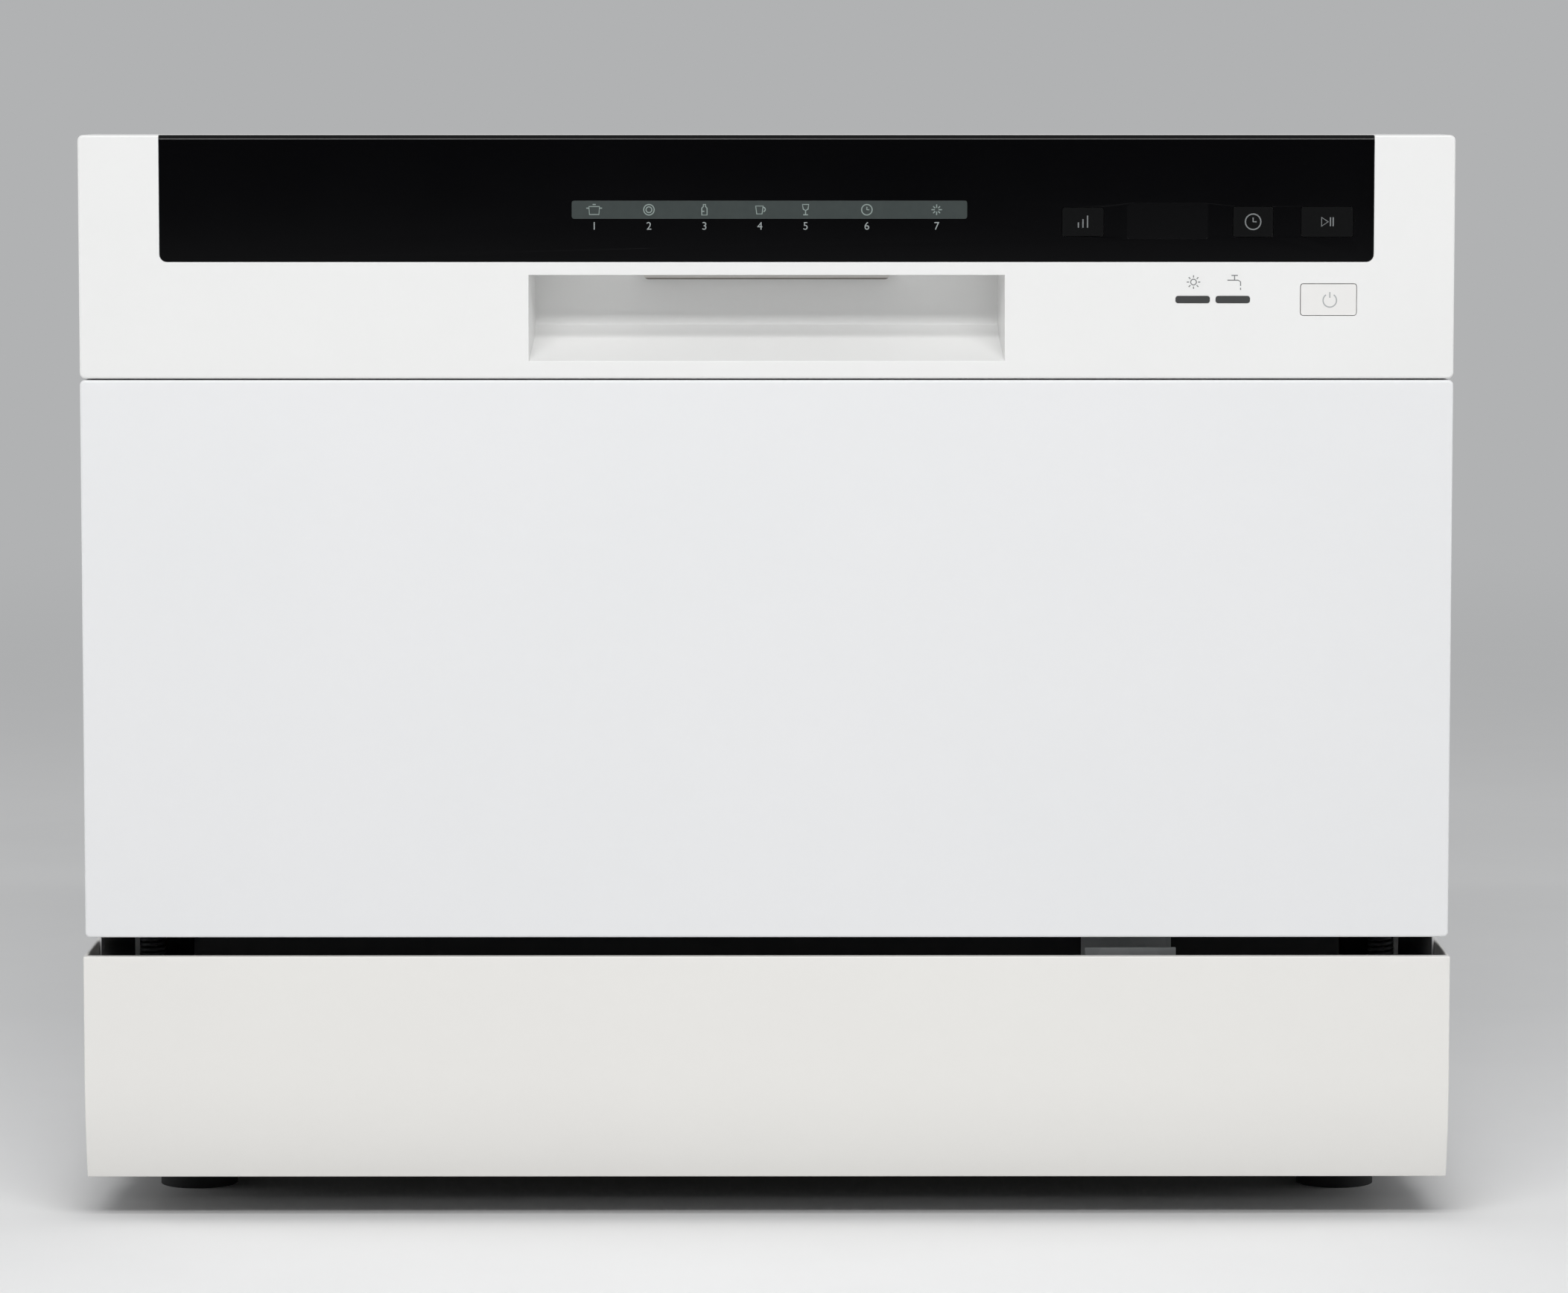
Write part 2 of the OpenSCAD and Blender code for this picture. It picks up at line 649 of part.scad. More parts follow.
// Float dome on a stem that lifts a switch when the basin floods
module float() color(white) {
    z0 = basin_z + 4;
    round_z(z0, z0 + 10, float_at[0], float_at[1], float_r);
    translate([float_at[0], float_at[1], z0 + 10])
        cylinder(h = 5, r1 = float_r, r2 = float_r - 5);
    round_z(basin_z - tub_t - 44, z0, float_at[0], float_at[1], 3);
    round_z(basin_z - tub_t - 48, basin_z - tub_t - 46, float_at[0], float_at[1], 6);
    round_z(basin_z - tub_t - 47, basin_z - tub_t - 43, float_at[0], float_at[1], 3);
}

// ---------------------------------------------------------------- hinge and latch

plate_x = liner_hw + 12;                   // inner face of a hinge bracket
bracket_t = 2;
arm_x = liner_hw + 4.5;                    // inner face of a hinge arm
arm_sheet = 2.5;
tail_l = 35;
spring_x = arm_x + arm_sheet / 2;
spring_y = pivot_y + tail_l;
spring_r = 5.5;
anchor_z = tray_z + tray_rim + 2;

// Brackets on the base tray, each with its pin and the lower spring anchor
module hinge_brackets() color(zinc) both() {
    x0 = plate_x;
    x1 = plate_x + bracket_t;
    leg_y = cab_y + 12;
    difference() {
        union() {
            round_x(x0, x1, pivot_y, pivot_z, 9);
            box([x0, pivot_y, pivot_z - 8], [x1, leg_y + 26, pivot_z + 8]);
            box([x0, leg_y, tray_z + tray_t + touch], [x1, leg_y + 26, pivot_z]);
            box([x0 - 8, leg_y, tray_z + tray_t + touch], [x1, leg_y + 26, tray_z + tray_t + 2]);
            box([spring_x - 7, spring_y - spring_r, anchor_z], [x1, leg_y, anchor_z + 2]);
        }
        round_x(x0 - 1, x1 + 1, pivot_y, pivot_z, pin_r);
    }
    // pin, headed outside the bracket
    round_x(arm_x - 2, x1, pivot_y, pivot_z, pin_r);
    round_x(x1 + touch, x1 + 2.5, pivot_y, pivot_z, pin_r + 2);
}

// Hinge arms inside the door, bored for the pins, with a tail for the spring
module hinge_arms() color(zinc) both() {
    x0 = arm_x;
    x1 = arm_x + arm_sheet;
    top = pivot_z + 100;
    difference() {
        union() {
            round_x(x0, x1, pivot_y, pivot_z, 8);
            box([x0, pivot_y - 8, pivot_z], [x1, pivot_y + 10, top]);
            box([x0, pivot_y, pivot_z - 6], [x1, pivot_y + tail_l, pivot_z + 6]);
            round_x(x0, x1, pivot_y + tail_l, pivot_z, 6);
            // flange against the door skin and flange against the liner skirt
            box([x0, door_y + skin_t + touch, pivot_z + 20], [x1, pivot_y, top]);
            box([x0, door_y + skin_t + touch, pivot_z + 20], [x1 + 9, door_y + skin_t + 2, top]);
            box([liner_hw + touch, pivot_y + 8, pivot_z + 30], [x1, pivot_y + 10, top]);
        }
        round_x(x0 - 1, x1 + 1, pivot_y, pivot_z, pin_r + fit);
        round_x(x0 - 1, x1 + 1, pivot_y + tail_l, pivot_z, 2.4);
    }
}

// Springs that balance the door, each drawn as its outer tube with two end hooks
module balance_springs() color(steel) both() {
    z0 = anchor_z + 8;
    z1 = pivot_z - 16;
    round_z(z0, z1, spring_x, spring_y, spring_r);
    round_z(anchor_z + 2 + touch, z0 - touch, spring_x, spring_y, 1.2);
    round_z(z1 + touch, pivot_z - 7.5, spring_x + 2.6, spring_y, 1.2);
}

// Keeper on the front frame that the latch hook drops behind
module latch_strike() color(steel) {
    y0 = cab_y + tub_t + frame_t + 2 * touch;
    box([-16, keeper_y + 4, hook_z + 0.5], [16, keeper_y + 6.5, hook_z + 4.5]);
    both() box([12, y0, hook_z + 0.5], [16, keeper_y + 4 - touch, hook_z + 4.5]);
}

// ---------------------------------------------------------------- door

// Painted steel door skin with edges folded back
module door_outer_panel() color(paint) {
    top = seam_z - seam;
    lip = 12;
    difference() {
        along_y(door_y, liner_y - 1) translate([0, (door_z + top) / 2])
            soft_rect(2 * door_hw, top - door_z, corner_r - 0.3);
        along_y(door_y + skin_t, liner_y) translate([0, (door_z + top) / 2])
            soft_rect(2 * (door_hw - skin_t), top - door_z - 2 * skin_t, corner_r - 1.1);
        // the top fold is short, and so is the bottom fold at the hinges
        box([-door_hw + skin_t, door_y + lip, top - 10], [door_hw - skin_t, liner_y, top + 1]);
        both() box([liner_hw + 1.5, door_y + 3.2, door_z - 1], [door_hw - skin_t, liner_y, door_z + 8]);
    }
}

// Stainless inner door with skirts and a drip edge, cut out for the dispenser
module door_liner() color(steel) {
    top = body_h - 14;
    z0 = door_z + skin_t + touch;
    drip = 7;
    difference() {
        along_x(-liner_hw, liner_hw) polygon([
            [liner_y - 22, z0], [liner_y - 2, z0], [liner_y, z0 + drip], [liner_y, top], [liner_y - 1.8, top],
            [liner_y - 22, top - 40]]);
        along_x(-liner_hw + skin_t, liner_hw - skin_t) polygon([
            [liner_y - 23, z0 + skin_t], [liner_y - 2 - skin_t / 2, z0 + skin_t],
            [liner_y - skin_t, z0 + drip], [liner_y - skin_t, top - skin_t],
            [liner_y - 23, top - skin_t]]);
        box([-60, liner_y - 30, top - 50], [60, liner_y - skin_t - 0.2, top + 1]);
        box([-8, liner_y - 3, hook_z - 3], [8, liner_y + 1, top + 1]);
        translate([0, 0, disp_z]) box([-disp_w / 2, liner_y - 9, -disp_h / 2],
                                      [disp_w / 2, liner_y + 1, disp_h / 2]);
        // the skirts stop below the control fascia
        box([-liner_hw - 1, liner_y - 30, top - 60], [-80, liner_y - 2.5, top + 1]);
        box([80, liner_y - 30, top - 60], [liner_hw + 1, liner_y - 2.5, top + 1]);
    }
}

// Side outline of the fascia, set in by d, with a round top front edge
module fascia_outline(d) {
    y0 = door_y + d;
    y1 = liner_y - 0.9;
    top = body_h - d;
    r = corner_r;
    translate([y0, seam_z]) square([y1 - y0, top - r - seam_z]);
    translate([y0 + r, seam_z]) square([y1 - y0 - r, top - seam_z]);
    translate([y0 + r, top - r]) circle(r);
}

// Side outline of the handle pocket: sloped floor, round root and upright back
pocket_rise = 8;
root_r = 6;
module pocket_outline() {
    slope = atan(pocket_rise / (pocket_back - door_y));
    cy = pocket_back - root_r;
    cz = pocket_z + (cy - door_y) * tan(slope) + root_r / cos(slope);
    arc = [for (i = [0:6]) let (a = slope - 90 + i * (90 - slope) / 6)
        [cy + root_r * cos(a), cz + root_r * sin(a)]];
    polygon(concat([[door_y - 1, pocket_top], [door_y - 1, pocket_z], [door_y, pocket_z]], arc,
                   [[pocket_back, pocket_top]]));
}

// White fascia moulding: front, returns, handle pocket, and holes for the controls
module control_fascia() color(white) {
    wall = 2;
    front = door_y + fascia_t;
    difference() {
        union() {
            difference() {
                intersection() {
                    along_x(-door_hw, door_hw) fascia_outline(0);
                    along_y(door_y - 1, liner_y) translate([0, (seam_z + body_h) / 2])
                        soft_rect(2 * door_hw, fascia_h, corner_r);
                }
                box([-door_hw + wall, front, seam_z - 1], [door_hw - wall, liner_y - 3, body_h - wall]);
                // open at the back below the rear lip
                box([-door_hw + wall, front, seam_z - 1], [door_hw - wall, liner_y, body_h - 13.5]);
            }
            box([-pocket_w / 2 - wall, front - 0.5, pocket_z - wall],
                [pocket_w / 2 + wall, pocket_back + wall, pocket_top + wall]);
        }
        along_x(-pocket_w / 2, pocket_w / 2) pocket_outline();
        // slot in the pocket ceiling for the paddle, and the slot for the latch hook
        box([-paddle_w / 2 - 2, lever_y - 9, pocket_top - 1],
            [paddle_w / 2 + 2, pocket_back - 0.5, pocket_top + wall + 1]);
        box([-8, liner_y - 4, hook_z - 2], [8, liner_y, hook_arm_z + 8]);
        // recess for the control window
        translate([0, door_y, window_z + window_h / 2 + 5]) rotate([90, 0, 0])
            translate([0, 0, -window_t]) linear_extrude(window_t + 5)
                soft_rect(window_w, window_h + 10, 3);
        // openings behind the window and in the plain front
        for (at = [program_at, delay_at, start_at, power_at])
            along_y(door_y - 1, front + 1) control_outline(at, button_gap);
        for (at = [display_at, strip_at, lamps_at[0], lamps_at[1]])
            along_y(door_y - 1, front + 1) control_outline(at, touch);
    }
}

// Clear black window laid into the fascia, rounded over at the top edge
module control_window() color(black) {
    trim = 0.15;
    difference() {
        intersection() {
            along_x(-door_hw, door_hw) fascia_outline(0);
            along_y(door_y, door_y + window_t - touch) translate([0, window_z + window_h / 2 + 5])
                soft_rect(window_w - 2 * trim, window_h + 10 - 2 * trim, 2.85);
        }
        for (at = [program_at, delay_at, start_at]) along_y(door_y - 1, liner_y) control_outline(at, button_gap);
        for (at = [display_at, strip_at]) along_y(door_y - 1, liner_y) control_outline(at, touch);
    }
}

// Clear lenses of the program strip and the display, set flush in the window
module control_lenses() color(lens_grey) for (at = [display_at, strip_at])
    along_y(door_y, door_y + fascia_t) control_outline(at, 0);

// Two small indicator lenses in the white front
module indicator_lenses() color(lens_grey) for (at = lamps_at)
    along_y(door_y, door_y + fascia_t + 2) control_outline(at, 0);

// A sprung button: a cap in its hole, a flange behind the front and a stem to its switch
module push_button(at) {
    along_y(door_y, door_y + fascia_t + 0.1) control_outline(at, 0);
    along_y(door_y + fascia_t + 0.1, door_y + fascia_t + 1.1) control_outline(at, 1.2);
    round_y(door_y + fascia_t + 1.1, board_y - 2.3 - button_travel, at[0], at[1], 2);
}
module program_button() color(black) push_button(program_at);
module delay_button() color(black) push_button(delay_at);
module start_button() color(black) push_button(start_at);
module power_button() color(white) push_button(power_at);

// Circuit board behind the window, with a switch for each button and its fixing posts
module control_board() color("#2f6b45") {
    t = 1.6;
    y1 = board_y + t;
    top = row_z + 10;
    box([-90, board_y, row_z - 6], [108, y1, top]);
    box([108, board_y, low_z - 9], [242, y1, top]);
    for (at = [program_at, delay_at, start_at, power_at])
        round_y(board_y - 2, board_y - touch, at[0], at[1], 3);
    box([display_at[0] - 15, door_y + fascia_t + gap, display_at[1] - 6],
        [display_at[0] + 15, board_y - touch, display_at[1] + 6]);
    for (x = [-84, 102, 238.5], z = [top - 4]) round_y(door_y + fascia_t + touch, board_y - touch, x, z, 2.5);
}

// Moulded latch housing: back plate, cheeks that hold the lever shaft and the hook pin
module latch_housing() color(dark) {
    y1 = liner_y - 3.1;
    y0 = y1 - 1.8;
    hw = paddle_w / 2 + 8;
    bearing = 3;
    difference() {
        union() {
            box([-hw, y0, pocket_top + 3], [hw, y1, body_h - 4]);
            both() box([hw - bearing, lever_y - 6, pocket_top + 3], [hw, y0, lever_z + 12]);
            both() box([6.2, hook_y - 6, hook_z - 7], [9, y0, hook_z + 6]);
        }
        both() round_x(hw - bearing - 1, hw + 1, lever_y, lever_z, lever_r + fit);
        both() round_x(6, 10, hook_y, hook_z, hook_pin_r + fit);
        box([-5.8, y0 - 1, hook_z - 14], [5.8, y1 + 1, hook_arm_z + 8]);
    }
}

// Latch lever: shaft, finger paddle in the pocket and a cam that lifts the hook
module latch_lever() color("#d9dadb") {
    hw = paddle_w / 2;
    round_x(-hw - 8, hw + 8, lever_y, lever_z, lever_r);
    along_y(lever_y - 3, lever_y - 0.6) translate([0, (pocket_top - paddle_hang + lever_z) / 2])
        soft_rect(paddle_w, lever_z - pocket_top + paddle_hang, 2);
    box([-5, lever_y - 2, lever_z], [5, lever_y + 0.6, hook_z - 6]);
}

// Latch hook: it turns on its pin and drops its tooth behind the keeper
module latch_hook() color(steel) {
    tip_y = keeper_y + 7.6;
    round_x(-9, 9, hook_y, hook_z, hook_pin_r);
    round_x(-5, 5, hook_y, hook_z, 4);
    box([-3, hook_y - 3, hook_z], [3, hook_y + 3, hook_arm_z + 3]);
    box([-3, hook_y - 3, hook_arm_z], [3, tip_y + 2.5, hook_arm_z + 3]);
    box([-3, tip_y, hook_z + 1.4], [3, tip_y + 2.5, hook_arm_z + 3]);
    box([-3, hook_y + 1.8, hook_z - 11], [3, hook_y + 4, hook_z]);
}

// Dispenser body in the liner: face, detergent cup, slide track and rinse-aid mouth
module dispenser_body() color("#d4d6d8") difference() {
    hw = disp_w / 2;
    hh = disp_h / 2;
    union() {
        along_y(liner_y, disp_y) translate([0, disp_z]) soft_rect(disp_w + 8, disp_h + 8, 6);
        box([-hw + 0.2, liner_y - 8, disp_z - hh + 0.2], [hw - 0.2, liner_y, disp_z + hh - 0.2]);
        box([-hw + 2, liner_y - 27, disp_z - hh + 6], [hw - 2, liner_y - 8, disp_z + hh - 6]);
    }
    // track that the lid slides in, and the cup it covers
    box([lid_x[0] - gap, disp_y - 4, disp_z - lid_hh - gap],
        [lid_x[1] + lid_travel + gap, disp_y + 1, disp_z + lid_hh + gap]);
    box([lid_x[0] + 4, disp_y - 24, disp_z - lid_hh + 5], [lid_x[1] - 4, disp_y, disp_z + lid_hh - 5]);
    round_y(disp_y - 3, disp_y + 1, cap_x, disp_z, cap_r + gap);
    round_y(disp_y - 16, disp_y, cap_x, disp_z, 9 + fit);
}

// Sliding lid of the detergent cup, with a thumb ridge
module dispenser_lid() color(white) {
    box([lid_x[0], disp_y - 3.6, disp_z - lid_hh], [lid_x[1], disp_y - 1.2, disp_z + lid_hh]);
    for (i = [0:2]) box([lid_x[1] - 9 - 4 * i, disp_y - 1.2, disp_z - 16],
                        [lid_x[1] - 7 - 4 * i, disp_y - 0.2, disp_z + 16]);
}

// Quarter-turn rinse-aid cap with a grip bar
module rinse_aid_cap() color(black) {
    round_y(disp_y - 2.6, disp_y - 0.6, cap_x, disp_z, cap_r);
    round_y(disp_y - 14, disp_y - 2.6, cap_x, disp_z, 9);
    box([cap_x - 12, disp_y - 0.6, disp_z - 1.8], [cap_x + 12, disp_y + 0.6, disp_z + 1.8]);
}

// Felt pad on the back of the door skin
module door_insulation() color(dark)
    box([-liner_hw + 20, door_y + skin_t + touch, door_z + 10], [liner_hw - 20, door_y + 5, seam_z - 22]);

// Screws through the liner into the door, as small pan heads
module door_screws() color(zinc) both() for (z = [door_z + 90, door_z + 160, door_z + 230])
    round_y(liner_y + touch, liner_y + 1.2, tub_hw - 4, z, 3);

// Screws that hold the rear panel
module cabinet_screws() color(zinc) {
    for (x = [-1, 1], z = [tray_z + 14, (tray_z + cab_top) / 2, cab_top - 12])
        round_y(rear_y + touch, rear_y + 2.2, x * (cab_hw - 10), z, 3.5);
    for (x = [-0.5, 0.5]) round_y(rear_y + touch, rear_y + 2.2, x * cab_hw, cab_top - 12, 3.5);
}

// ---------------------------------------------------------------- rack

wire_count = floor(2 * rack_hw / wire_pitch);
wire_xs = [for (i = [0:wire_count]) (i - wire_count / 2) * wire_pitch];
function lean_x(z) = lean * (z - rack_z) / rack_h;

// Coated wires of the rack: floor, cross wires, walls and rim
module rack_wires() color(coated) {
    side_x = rack_hw + 4;
    wall_r = 1.5;
    // floor
    for (x = wire_xs) rod([x, rack_front + 1.6, rack_z], [x, rack_rear - 1.8, rack_z], wire_r);
    for (y = concat([rack_front + 6, rack_rear - 8, (wheel_ys[0] + wheel_ys[1]) / 2], wheel_ys))
        rod([-side_x - 4.3, y, cross_z], [side_x + 4.3, y, cross_z], rim_r);
    // walls
    for (x = wire_xs) {
        rod([x, rack_front, rack_z], [x, rack_front - front_lean, rim_z], wall_r);
        rod([x, rack_rear, rack_z], [x, rack_rear + 4, rim_z], wall_r);
    }
    steps = floor((rack_rear - rack_front - 40) / 40);
    for (i = [0:steps]) both() {
        y = rack_front + 26 + i * (rack_rear - rack_front - 46) / steps;
        rod([side_x, y, cross_z + rim_r + wall_r], [side_x + lean, y, rim_z], wall_r);
    }
    // rim
    rx = side_x + lean + wall_r + rim_r + 0.1;
    front = rack_front - front_lean - wall_r - rim_r - 0.1;
    rear = rack_rear + 4 + wall_r + rim_r + 0.1;
    both() rod([rx, front + 4, rim_z], [rx, rear - 4, rim_z], rim_r);
    rod([-rx + 4, front, rim_z], [rx - 4, front, rim_z], rim_r);
    rod([-rx + 4, rear, rim_z], [rx - 4, rear, rim_z], rim_r);
}

// Rows of tines that hold the plates
tine_rows = [rack_front + 100, rack_front + 180, rack_front + 260];
module rack_tines() color(coated) for (y = tine_rows, x = wire_xs)
    if (x < basket_x[0] - 12 && y < rack_rear - 20)
        rod([x, y, rack_z + wire_r + 0.4], [x, y + 9, rack_z + tine_h], 1.5);

// Moulded clips: four that carry the wheel axles and two that hold the cup shelf
module rack_clips() color(grey) {
    both() for (y = wheel_ys) {
        box([rack_hw + 8.4, y - 9, wheel_z - 9], [wheel_x[0] - gap, y + 9, wheel_z + 9]);
        round_x(wheel_x[0] - gap, wheel_x[1] + 1, y, wheel_z, axle_r);
        round_x(wheel_x[1] + gap, wheel_x[1] + 1.8, y, wheel_z, axle_r + 2);
    }
    for (y = [shelf_y[0] + 14, shelf_y[1] - 14]) difference() {
        box([-(rack_hw + lean + 10), y - 4, rim_z + rim_r + touch], [shelf_x + 5, y + 4, shelf_z + 5]);
        round_y(y - 5, y + 5, shelf_x, shelf_z, rim_r + fit);
    }
}

module rack_wheel(side, y) color(grey) difference() {
    hub_r = axle_r + 4;
    union() {
        round_x(side > 0 ? wheel_x[0] : -wheel_x[1], side > 0 ? wheel_x[1] : -wheel_x[0], y, wheel_z, wheel_r);
    }
    round_x(-body_w, body_w, y, wheel_z, axle_r + fit);
    // dished outer face
    difference() {
        round_x(side > 0 ? wheel_x[1] - 3 : -wheel_x[1] - 1, side > 0 ? wheel_x[1] + 1 : -wheel_x[1] + 3,
                y, wheel_z, wheel_r - 3);
        round_x(-body_w, body_w, y, wheel_z, hub_r);
    }
}
module wheel_front_left() rack_wheel(-1, wheel_ys[0]);
module wheel_front_right() rack_wheel(1, wheel_ys[0]);
module wheel_rear_left() rack_wheel(-1, wheel_ys[1]);
module wheel_rear_right() rack_wheel(1, wheel_ys[1]);

// Wire cup shelf that folds up on a shaft along the left rim
module cup_shelf() color(coated) {
    x0 = shelf_x + rim_r + touch;
    x1 = shelf_x + shelf_reach;
    rod([shelf_x, shelf_y[0], shelf_z], [shelf_x, shelf_y[1], shelf_z], rim_r);
    arms = 6;
    for (i = [0:arms - 1]) {
        y = shelf_y[0] + 4 + i * (shelf_y[1] - shelf_y[0] - 8) / (arms - 1);
        rod([x0, y, shelf_z], [x1, y, shelf_z], 1.5);
    }
    rod([x1 + 1.5 + rim_r + touch - 0.8, shelf_y[0], shelf_z], [x1 + 1.5 + rim_r + touch - 0.8, shelf_y[1], shelf_z], rim_r);
}

// Slotted cutlery basket with a row of cells and a bail handle
module cutlery_basket() color("#9aa0a4") {
    w = basket_wall;
    x0 = basket_x[0];
    x1 = basket_x[1];
    y0 = basket_y[0];
    y1 = basket_y[1];
    cell = (y1 - y0 - w) / cells;
    top = basket_z + basket_h;
    mid = (x0 + x1) / 2;
    difference() {
        box([x0, y0, basket_z], [x1, y1, top]);
        for (i = [0:cells - 1]) box([x0 + w, y0 + w + i * cell, basket_z + w],
                                    [x1 - w, y0 + i * cell + cell, top + 1]);
        // slots through the long walls
        for (i = [0:cells - 1], j = [0:2])
            box([x0 - 1, y0 + w + i * cell + 7 + j * (cell - w - 14) / 2.6, basket_z + 14],
                [x1 + 1, y0 + w + i * cell + 13 + j * (cell - w - 14) / 2.6, top - 22]);
    }
    // bail over the two middle walls
    for (y = [y0 + cell + w / 2, y0 + 3 * cell + w / 2])
        box([mid - 5, y - w / 2, top], [mid + 5, y + w / 2, top + 26]);
    box([mid - 5, y0 + cell, top + 20], [mid + 5, y0 + 3 * cell + w, top + 26]);
}

// ---------------------------------------------------------------- nodes

outer_cabinet();
rear_panel();
base_tray();
base_front_panel();
rubber_feet();
tub();
front_frame();
door_seal();
sound_mats();
sump();
fine_filter_plate();
spray_arm_post();
wash_pump_housing();
wash_motor();
water_heater();
drain_pump();
inlet_valve();
drain_spigot();
air_break();
inner_hoses();
power_board();
cord_gland();
hinge_brackets();
latch_strike();
cabinet_screws();
balance_springs();
door_outer_panel();
door_liner();
control_fascia();
control_window();
control_lenses();
indicator_lenses();
control_board();
hinge_arms();
latch_housing();
dispenser_body();
door_insulation();
door_screws();
latch_lever();
latch_hook();
program_button();
delay_button();
start_button();
power_button();
dispenser_lid();
rinse_aid_cap();
rack_wires();
rack_tines();
rack_clips();
cup_shelf();
cutlery_basket();
wheel_front_left();
wheel_front_right();
wheel_rear_left();
wheel_rear_right();
spray_arm();
filter_cup();
wash_pump_rotor();
drain_pump_rotor();
float();
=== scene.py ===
import math

import bmesh
import bpy
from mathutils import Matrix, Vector


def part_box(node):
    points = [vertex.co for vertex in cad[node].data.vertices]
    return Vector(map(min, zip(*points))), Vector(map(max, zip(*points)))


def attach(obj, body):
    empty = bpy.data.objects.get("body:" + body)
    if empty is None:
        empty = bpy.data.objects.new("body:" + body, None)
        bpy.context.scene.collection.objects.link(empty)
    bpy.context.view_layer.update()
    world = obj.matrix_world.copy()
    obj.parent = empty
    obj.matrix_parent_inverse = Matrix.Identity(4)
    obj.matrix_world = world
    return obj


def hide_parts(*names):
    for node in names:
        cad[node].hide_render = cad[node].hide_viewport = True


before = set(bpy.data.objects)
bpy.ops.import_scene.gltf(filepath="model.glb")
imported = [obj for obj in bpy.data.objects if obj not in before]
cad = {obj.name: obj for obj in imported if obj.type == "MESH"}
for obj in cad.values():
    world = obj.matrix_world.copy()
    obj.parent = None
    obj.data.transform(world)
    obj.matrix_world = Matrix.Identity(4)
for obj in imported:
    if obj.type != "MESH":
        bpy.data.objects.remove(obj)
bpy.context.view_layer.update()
scene = bpy.context.scene
MM = 0.001

# ---------------------------------------------------------------- camera
# A long lens stands well back from the middle of the front. It looks down very slightly,
# so that upright edges stay nearly upright and the top stays out of sight.
camera = bpy.data.objects.new("camera", bpy.data.cameras.new("camera"))
camera.location = (0, -2.748, 0.462)
camera.rotation_euler = (math.radians(90 - 5.22), 0, math.radians(-0.158))
camera.data.lens = 143.8
scene.collection.objects.link(camera)
scene.camera = camera


# ---------------------------------------------------------------- studio
# A matt pale floor runs out to a pale surround. Two wide soft lamps stand above the front,
# one steeper than the other, and one at each side. A dim stretch faces the glossy window.
def linear(colour):
    """An sRGB hex colour as linear RGBA"""
    parts = [int(colour[i:i + 2], 16) / 255 for i in (1, 3, 5)]
    return (*(c / 12.92 if c <= 0.04045 else ((c + 0.055) / 1.055) ** 2.4 for c in parts), 1)


def add(tree, kind, inputs=None, **settings):
    """Adds a node with its settings, and fills or links its inputs"""
    node = tree.nodes.new("ShaderNode" + kind)
    for name, value in settings.items():
        setattr(node, name, value)
    return wire(node, inputs or {})


def wire(node, inputs):
    """Fills a node's inputs with values, or links sockets to them"""
    for name, value in inputs.items():
        socket = node.inputs[name]
        if isinstance(value, bpy.types.NodeSocket):
            node.id_data.links.new(value, socket)
        else:
            socket.default_value = value
    return node


def start(name):
    """A new material: itself, its tree, its shader, and the place on the object in metres"""
    material = bpy.data.materials.new(name)
    material.use_nodes = True
    tree = material.node_tree
    where = add(tree, "TexCoord").outputs["Object"]
    return material, tree, tree.nodes["Principled BSDF"], where


def finish(name, low, high, patch, values, detail=2, grain=None, fine=2, depth=0, strength=0.5):
    """A material whose colour drifts in patches, embossed by a finer grain or by the patches"""
    material, tree, shader, where = start(name)
    drift = add(tree, "TexNoise", {"Vector": where, "Scale": 1 / patch, "Detail": detail})
    tone = add(tree, "MixRGB", {"Fac": drift.outputs["Fac"], "Color1": linear(low),
                                "Color2": linear(high)})
    wire(shader, {"Base Color": tone.outputs["Color"], **values})
    if grain:
        drift = add(tree, "TexNoise", {"Vector": where, "Scale": 1 / grain, "Detail": fine})
    if depth:
        relief = add(tree, "Bump", {"Height": drift.outputs["Fac"], "Distance": depth,
                                    "Strength": strength})
        wire(shader, {"Normal": relief.outputs["Normal"]})
    return material


def smooth_by_angle(mesh):
    mesh.shade_smooth()
    mesh.set_sharp_from_angle(angle=math.radians(32))


def mesh_object(name, bm, material):
    """Turns a bmesh into an object, shaded smooth except at its sharp edges"""
    bmesh.ops.recalc_face_normals(bm, faces=bm.faces)
    mesh = bpy.data.meshes.new(name)
    bm.to_mesh(mesh)
    bm.free()
    mesh.materials.append(material)
    smooth_by_angle(mesh)
    made = bpy.data.objects.new(name, mesh)
    scene.collection.objects.link(made)
    return made


surround = linear("#b1b2b3")
room_light = linear("#a2a3a4")
paper = finish("matt studio paper", "#eeeeee", "#f1f1f1", 60 * MM, {"Roughness": 0.9}, detail=3)
# away from the object the paper fades into the surround
tree = paper.node_tree
where = add(tree, "TexCoord").outputs["Object"]
rays = add(tree, "LightPath").outputs
looked_at = add(tree, "Math", {0: rays["Is Glossy Ray"], 1: rays["Is Transmission Ray"]},
                operation="MAXIMUM")
looked_at = add(tree, "Math", {0: rays["Is Camera Ray"], 1: looked_at.outputs["Value"]},
                operation="MAXIMUM")
reach = add(tree, "VectorMath", {0: where}, operation="LENGTH")
fade = add(tree, "MapRange", {"Value": reach.outputs["Value"], "From Min": 0.8, "From Max": 3.5},
           interpolation_type="SMOOTHSTEP")
share = add(tree, "Math", {0: fade.outputs["Result"], 1: looked_at.outputs["Value"]},
            operation="MULTIPLY")
far_paper = add(tree, "Emission", {"Color": surround, "Strength": 1})
blend = add(tree, "MixShader", {0: share.outputs["Value"],
                                1: tree.nodes["Principled BSDF"].outputs["BSDF"],
                                2: far_paper.outputs["Emission"]})
wire(tree.nodes["Material Output"], {"Surface": blend.outputs["Shader"]})
paper_r = 14
bm = bmesh.new()
